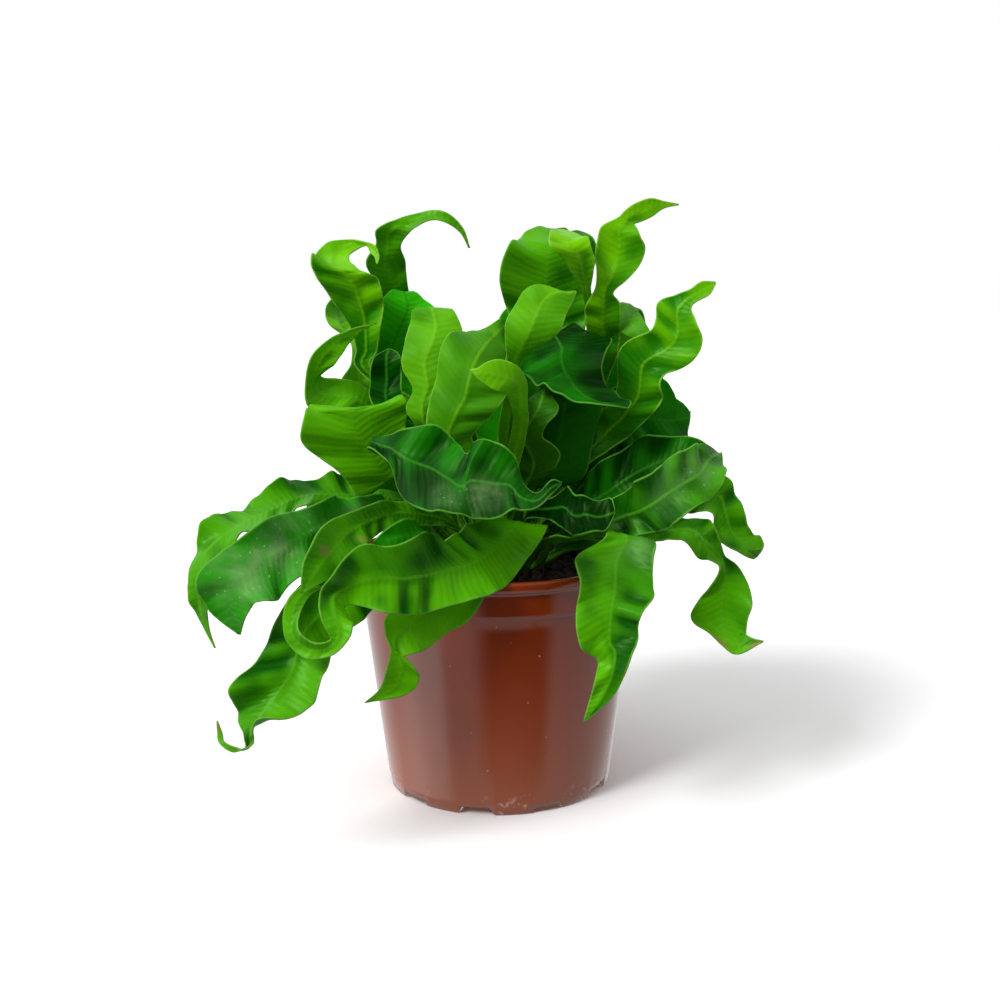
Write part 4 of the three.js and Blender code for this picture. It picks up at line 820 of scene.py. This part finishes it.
# One frond: the middle moved out along its normal to both faces, with the thickness rounded off close to
# the margin, a rib along the midrib, and both ends closed to a point.
def makeFrond(name, frond, values):
    _, _, length, _ = bladeMiddle(frond, np.array([0.0, 1.0]), np.array([0.0]), values)
    u = np.linspace(0, 1, int(np.clip(length / values["step"], *values["rows"])))
    v = np.sin(np.pi / 2 * np.linspace(-1, 1, values["columns"]))
    middle, half, length, folds = bladeMiddle(frond, u, v, values)
    normal = np.cross(np.gradient(middle, axis=1), np.gradient(middle, axis=0))
    normal = normal / np.linalg.norm(normal, axis=2, keepdims=True)
    stalk = np.exp(-(u * length / values["stalkFade"])**2)[:, None]
    rounded = np.minimum(0.9, values["marginRound"] / half)
    inward = np.clip((np.abs(v)[None, :] - 1 + rounded) / rounded, 0, 1)
    lift = (values["blade"] + values["stalkExtra"] * stalk) / 2 * np.sqrt(1 - inward**2)
    lift = lift * (values["tipLeft"] + (1 - values["tipLeft"]) * smooth(1, values["tipFrom"], u))[:, None]
    across = np.abs(v)[None, :] * half
    rib = np.exp(-(across / values["ribWidth"])**2) * (1 - smooth(*values["ribEnd"], u))[:, None]
    top = middle + normal * (lift + values["ribRise"] * rib)[..., None]
    low = middle - normal * (lift + values["ribDepth"] * rib)[..., None]
    loop = bothFaces(top, low)
    points = np.vstack([loop.reshape(-1, 3), loop[0].mean(axis=0), loop[-1].mean(axis=0)])
    slot = frond["slot"]
    piece = makePiece("fern_" + name, points, *closedFaces(*loop.shape[:2]), leafMaterials[slot], slot,
                      "frond_" + name)
    markFrond(piece, name, frond["tonesAndShading"], u, v, length, half, folds)


for name, row in fronds.items():
    makeFrond(name, dict(zip(frondKeys, row)), frondValues)
for name, row in farFronds.items():
    frond = {**frondValues["far"], **dict(zip(farKeys, row))}
    frond["stations"] = farStations(frond, frondValues["farFoot"])
    makeFrond(name, frond, frondValues)
print("fronds made:", len(fronds) + len(farFronds))


# Pot

potValues = {
    "lipRadius": 60, "lipTop": 96.6, "lipBottom": 92.4, "bandRadius": 56.8, "bandBottom": 81.8,
    "bandStep": 1, "footRadius": 45.9, "wall": 1.4, "footRing": 4, "footRise": 3.2, "basePad": 31,
    "notchWidth": 13, "notchHeights": (3, 1.6), "notchCount": 10, "notchStart": -101.6,
    "notchSlope": 1, "footTop": 4, "drainRadius": 36.5, "drainBore": 3.2, "drainDepth": 8,
    "drainCount": 6, "drainSides": 32, "sides": 360,
    # The paler, greyer colour and the heights it fades in over are painted light and reflection of the
    # floor.
    "clay": (0.230, 0.024, 0.0006), "warm": (0.280, 0.034, 0.0010), "paintedLight": (0.340, 0.082, 0.030),
    "scuff": (0.62, 0.40, 0.36), "paintedLightFrom": (75, -20), "scuffFrom": (11, 2), "scuffCover": 0.8,
    "speckCover": 0.5, "roughness": 0.13, "roughPatches": 0.10, "scuffRough": 0.3,
    "shine": 0.5, "reliefStrength": 0.05, "reliefDepth": 0.4,
    # noise in its patterns: scale, detail, and the range where its patches set in
    "cloudNoise": (22.0, 4.0), "fleckNoise": (420.0, 4.0, 0.57, 0.66),
    "clusterNoise": (45.0, 2.0, 0.46, 0.58), "speckNoise": (300.0, 1.0, 0.765, 0.80),
    "roughNoise": (60.0,), "reliefNoise": (160.0, 3.0),
}


# Pot plastic: red-brown with faint cloudy patches, paler and greyer towards the foot as painted light and
# reflection of the floor, fine scuffs near the foot and a few pale specks.
def potMaterial(v):
    material, tree, place = newMaterial("potPlastic")
    height = addNode(tree, "ShaderNodeSeparateXYZ", {0: place}).outputs["Z"]
    colour = blendColour(tree, noise(tree, place, *v["cloudNoise"]), v["clay"], v["warm"])
    # Paler and greyer towards the foot: painted light and painted reflection of the floor below.
    paintedLight, low = (fade(tree, height, *(mark * mm for mark in v[key])) for key in ("paintedLightFrom", "scuffFrom"))
    colour = blendColour(tree, paintedLight, colour, v["paintedLight"])
    flecks = patches(tree, place, *v["fleckNoise"])
    clusters = patches(tree, place, *v["clusterNoise"])
    specks = patches(tree, place, *v["speckNoise"])
    scuffs = times(tree, times(tree, times(tree, flecks, clusters), low), v["scuffCover"])
    marks = calc(tree, "MAXIMUM", scuffs, times(tree, specks, v["speckCover"]))
    colour = blendColour(tree, marks, colour, v["scuff"])
    rough = times(tree, noise(tree, place, *v["roughNoise"]), v["roughPatches"])
    rough = plus(tree, plus(tree, rough, v["roughness"]), times(tree, marks, v["scuffRough"]))
    inputs = {"Specular IOR Level": v["shine"], "Normal": grain(tree, place, v)}
    finishMaterial(tree, principled(tree, colour, rough, inputs))
    return material


# The pot's closed profile as (radius, height), from the middle of the base out, up the wall, over the
# lip and down inside. Corners are rounded by short extra points.
def potProfile(v):
    foot, band, lip, pad = v["footRadius"], v["bandRadius"], v["lipRadius"], v["basePad"]
    bandLow, lipLow, lipTop = v["bandBottom"], v["lipBottom"], v["lipTop"]
    rise, wall, body, ring = v["footRise"], v["wall"], band - v["bandStep"], foot - v["footRing"]
    lean = (body - foot) / bandLow
    return np.array([
        (0, 0), (pad - 0.3, 0), (pad + 0.2, 0.2), (pad + 1.4, rise), (ring - 0.8, rise), (ring, 0.2),
        (ring + 0.4, 0), (foot - 0.5, 0), (foot - 0.05, 0.4),
        *((foot + lean * height, height) for height in (5, 20, 40, 60, 76)),
        (body - 0.1, bandLow - 0.7), (body + 0.15, bandLow - 0.15), (band - 0.35, bandLow - 0.05),
        (band, bandLow + 0.3), (band + 0.08, bandLow + 2), (band + 0.28, lipLow - 1.6),
        (band + 0.45, lipLow - 0.7), (lip - 1.6, lipLow - 0.2), (lip - 0.6, lipLow + 0.15),
        (lip - 0.1, lipLow + 0.9), (lip, lipLow + 2), (lip - 0.05, lipTop - 1.1), (lip - 0.4, lipTop - 0.4),
        (lip - 1, lipTop), (lip - 2.2, lipTop), (lip - 2.9, lipTop - 0.5),
        (band - wall + 0.2, lipLow - 0.6), (band - wall, lipLow - 1.6), (body - wall, bandLow - 1),
        (foot + lean * (rise + wall + 1) - wall, rise + wall + 1),
        (foot + lean * (rise + wall) - wall - 1, rise + wall), (pad + 1.2, rise + wall),
        (pad - 0.2, wall), (0, wall)])


# How far the foot is cut up at each angle: deep and shallow notches by turns, with sloped ends.
def potNotches(v, turn):
    lift = np.zeros_like(turn)
    end, slope = v["notchWidth"] / 2, v["notchSlope"]
    for k in range(v["notchCount"]):
        centre = math.radians(v["notchStart"] + k * 360 / v["notchCount"])
        off = np.abs((turn - centre + np.pi) % (2 * np.pi) - np.pi) * v["footRadius"]
        tall = v["notchHeights"][k % len(v["notchHeights"])]
        lift = np.maximum(lift, tall * (1 - smooth(end - slope, end + slope, off)))
    return lift


# Drain holes: upright cylinders cut from the raised ring of the base.
def cutDrains(pot, v):
    cutter = bmesh.new()
    bore = v["drainBore"] * mm
    for k in range(v["drainCount"]):
        turn = math.radians(v["notchStart"] + (k + 0.5) * 360 / v["drainCount"])
        place = Vector((math.cos(turn), math.sin(turn), 0)) * v["drainRadius"]
        place.z = v["footRise"]
        bmesh.ops.create_cone(cutter, cap_ends=True, segments=v["drainSides"], radius1=bore, radius2=bore,
                              depth=v["drainDepth"] * mm, matrix=Matrix.Translation(place * mm))
    mesh = bpy.data.meshes.new("drains")
    cutter.to_mesh(mesh)
    cutter.free()
    drains = bpy.data.objects.new("drains", mesh)
    bpy.context.scene.collection.objects.link(drains)
    cut = pot.modifiers.new("drains", "BOOLEAN")
    cut.object = drains
    cut.operation = "DIFFERENCE"
    cut.solver = "EXACT"
    whole = pot.data
    pot.data = bpy.data.meshes.new_from_object(pot.evaluated_get(bpy.context.evaluated_depsgraph_get()))
    pot.modifiers.clear()
    bpy.data.objects.remove(drains)
    for mesh in (mesh, whole):
        bpy.data.meshes.remove(mesh)


# The profile turned about the upright axis, with the foot ring raised at its notches.
def makePot(v):
    turn = turns(v["sides"])
    radius, height = np.split(potProfile(v)[1:-1], 2, axis=1)
    onFoot = (radius > v["footRadius"] - v["footRing"] - 1) & (height < v["footTop"])
    height = np.where(onFoot, np.maximum(height, potNotches(v, turn)), height)
    rings = np.stack([radius * np.cos(turn), radius * np.sin(turn), height], axis=-1)
    points = np.vstack([rings.reshape(-1, 3), [(0, 0, 0), (0, 0, v["wall"])]])
    pot = makePiece("nurseryPot", points, *closedFaces(*rings.shape[:2]), potMaterial(v), "pot", "pot")
    cutDrains(pot, v)


makePot(potValues)
print("pot made")


# Potting mix

mixValues = {
    "radius": 54.3, "top": 85.4, "bottom": 6.0, "lumps": 1.5, "innerRing": 1.5, "rings": 56, "around": 160,
    "sides": ((0.975, 74.0), (0.93, 50.0), (0.84, 7.0)),    # share of the radius, and height
    "chips": 420, "chipSpread": (0.1, 0.97), "chipSize": (0.6, 2.4), "chipSquash": (0.4, 1.0),
    "chipCorners": (0.75, 1.2), "chipRise": 0.1, "seed": 7,
    "crumbs": 0.35,         # height of the quick waves
    "dark": (0.010, 0.006, 0.004), "brown": (0.045, 0.024, 0.012), "pale": (0.14, 0.10, 0.06),
    "brownNoise": (260.0, 6.0, 0.35, 0.7), "paleNoise": (700.0, 2.0, 0.66, 0.74), "roughness": 0.92,
    "reliefNoise": (500.0, 6.0), "reliefStrength": 0.8, "reliefDepth": 0.8,
}


# Peat: dark with brown crumbs and a few pale ones.
def mixMaterial(v):
    material, tree, place = newMaterial("pottingMix")
    colour = blendColour(tree, patches(tree, place, *v["brownNoise"]), v["dark"], v["brown"])
    colour = blendColour(tree, patches(tree, place, *v["paleNoise"]), colour, v["pale"])
    finishMaterial(tree, principled(tree, colour, v["roughness"], {"Normal": grain(tree, place, v)}))
    return material


# Height of the mix: its top raised by a sum of slow and quick waves.
def mixHeight(v, x, y):
    z = v["lumps"] * (0.5 * np.sin(0.9 * x + 1.3) * np.cos(0.8 * y) + 0.3 * np.sin(0.5 * x - 0.7 * y))
    return v["top"] + z + v["crumbs"] * np.sin(2.3 * x + 0.7 * y) * np.cos(1.9 * y - 0.4 * x)


# Bark chips: stones of twenty sides, squashed, turned about the upright and set into the top at random.
def barkChips(v):
    rng = np.random.default_rng(v["seed"])
    stone = bmesh.new()
    bmesh.ops.create_icosphere(stone, subdivisions=1, radius=1.0)
    shape = np.array([vert.co[:] for vert in stone.verts])
    corners = np.array([[vert.index for vert in face.verts] for face in stone.faces])
    stone.free()
    count = v["chips"]
    far = v["radius"] * np.sqrt(rng.uniform(*v["chipSpread"], count))
    angle = rng.uniform(0, 2 * np.pi, count)
    size = rng.uniform(*v["chipSize"], (count, 1)) * rng.uniform(*v["chipSquash"], (count, 3))
    chips = shape[None] * size[:, None] * rng.uniform(*v["chipCorners"], (count, len(shape), 1))
    spin = rng.uniform(0, 2 * np.pi, count)
    c, s = np.cos(spin)[:, None], np.sin(spin)[:, None]
    x, y, z = chips[..., 0], chips[..., 1], chips[..., 2]
    chips = np.stack([c * x - s * y, s * x + c * y, z], axis=-1)
    x, y = far * np.cos(angle), far * np.sin(angle)
    chips = chips + np.stack([x, y, mixHeight(v, x, y) + v["chipRise"]], axis=-1)[:, None]
    faces = corners[None] + (np.arange(count) * len(shape))[:, None, None]
    return chips.reshape(-1, 3), faces.reshape(-1, 3)


# The top of the mix is a disc on polar rings. Its side goes down inside the pot and closes below.
def makeMix(v):
    out = np.linspace(v["innerRing"], v["radius"], v["rings"])
    turn = turns(v["around"])
    x, y = out[:, None] * np.cos(turn), out[:, None] * np.sin(turn)
    top = np.stack([x, y, mixHeight(v, x, y)], axis=-1).reshape(-1, 3)
    edge = np.stack([x[-1], y[-1]], axis=-1)
    sides = [np.column_stack([edge * share, np.full(len(turn), height)]) for share, height in v["sides"]]
    points = np.vstack([top, *sides, [(0, 0, v["top"]), (0, 0, v["bottom"])]])
    quads, triangles = closedFaces(len(out) + len(sides), len(turn), True)
    chips, chipFaces = barkChips(v)
    triangles = np.vstack([triangles, chipFaces + len(points)])
    points = np.vstack([points, chips])
    makePiece("pottingMix", points, quads, triangles, mixMaterial(v), "potting_mix", "potting_mix")


makeMix(mixValues)
print("potting mix made")


# Crown

crownValues = {
    "radius": 19, "bottom": 85.3, "top": 104, "rings": 25, "around": 72,
    "bump": 0.03, "bumpsRound": 9, "bumpTwist": 8,      # a share of the radius, and bumps round and up it
    "scaleFrom": 0.05, "scaleSpan": 0.85,               # lowest scales and their span, as shares of height
    "scales": 170, "scaleLong": (3.0, 6.0), "scaleWide": (0.5, 1.1), "scaleLean": (0.25, 0.7),
    "scaleThick": 0.5, "scaleSunk": 0.4, "seed": 3,
    "spiral": 2.39996,      # radians from one scale to the next
    "dark": (0.020, 0.010, 0.005), "rust": (0.10, 0.045, 0.015), "rustNoise": (320.0, 5.0, 0.35, 0.7),
    "roughness": 0.85, "reliefNoise": (800.0, 4.0), "reliefStrength": 0.6, "reliefDepth": 0.5,
}


# Scales: dark brown with patches of rust.
def crownMaterial(v):
    material, tree, place = newMaterial("crownScales")
    colour = blendColour(tree, patches(tree, place, *v["rustNoise"]), v["dark"], v["rust"])
    finishMaterial(tree, principled(tree, colour, v["roughness"], {"Normal": grain(tree, place, v)}))
    return material


# Narrow pointed scales in spiral order: three corners at the root, three in the middle and a tip, along a
# line that leans out from the dome.
def crownScales(v):
    rng = np.random.default_rng(v["seed"])
    count = v["scales"]
    order = np.arange(count)
    level = v["scaleFrom"] + v["scaleSpan"] * order / count
    angle = order * v["spiral"]
    out = np.stack([np.cos(angle), np.sin(angle), np.zeros(count)], axis=-1)
    aside = np.stack([-np.sin(angle), np.cos(angle), np.zeros(count)], axis=-1)
    root = out * (v["radius"] * np.sqrt(1 - level**2) - v["scaleSunk"])[:, None] + [0, 0, v["bottom"]]
    root[:, 2] += (v["top"] - v["bottom"]) * level
    drawn = [rng.uniform(*v[key], count)[:, None] for key in ("scaleLong", "scaleWide", "scaleLean")]
    long, wide, away = drawn
    lean = out * away + np.array([0, 0, 1.0])
    lean = lean / np.linalg.norm(lean, axis=1, keepdims=True)
    middle, thick = root + lean * long * 0.45, out * v["scaleThick"]
    scales = np.stack([
        root - aside * wide * 0.5, root + aside * wide * 0.5, root + thick,
        middle - aside * wide, middle + aside * wide, middle + thick, root + lean * long], axis=1)
    faces = np.array([(0, 1, 4), (0, 4, 3), (1, 2, 5), (1, 5, 4), (2, 0, 3), (2, 3, 5),
                      (3, 4, 6), (4, 5, 6), (5, 3, 6), (0, 2, 1)])
    return scales.reshape(-1, 3), (faces[None] + (order * 7)[:, None, None]).reshape(-1, 3)


# A dome, radius falling with height as a quarter ellipse with bumps, clothed in scales.
def makeCrown(v):
    rise = np.linspace(0, 1, v["rings"] + 1)[:-1, None]
    turn = turns(v["around"])
    bumps = np.sin(v["bumpsRound"] * turn + v["bumpTwist"] * rise)
    radius = v["radius"] * np.sqrt(1 - rise**2) * (1 + v["bump"] * bumps)
    height = v["bottom"] + (v["top"] - v["bottom"]) * rise + 0 * turn
    dome = np.stack([radius * np.cos(turn), radius * np.sin(turn), height], axis=-1)
    points = np.vstack([dome.reshape(-1, 3), [(0, 0, v["bottom"]), (0, 0, v["top"])]])
    quads, triangles = closedFaces(*dome.shape[:2])
    scales, scaleFaces = crownScales(v)
    triangles = np.vstack([triangles, scaleFaces + len(points)])
    points = np.vstack([points, scales])
    makePiece("crownHeart", points, quads, triangles, crownMaterial(v), "crown", "crown")


makeCrown(crownValues)
print("crown made")
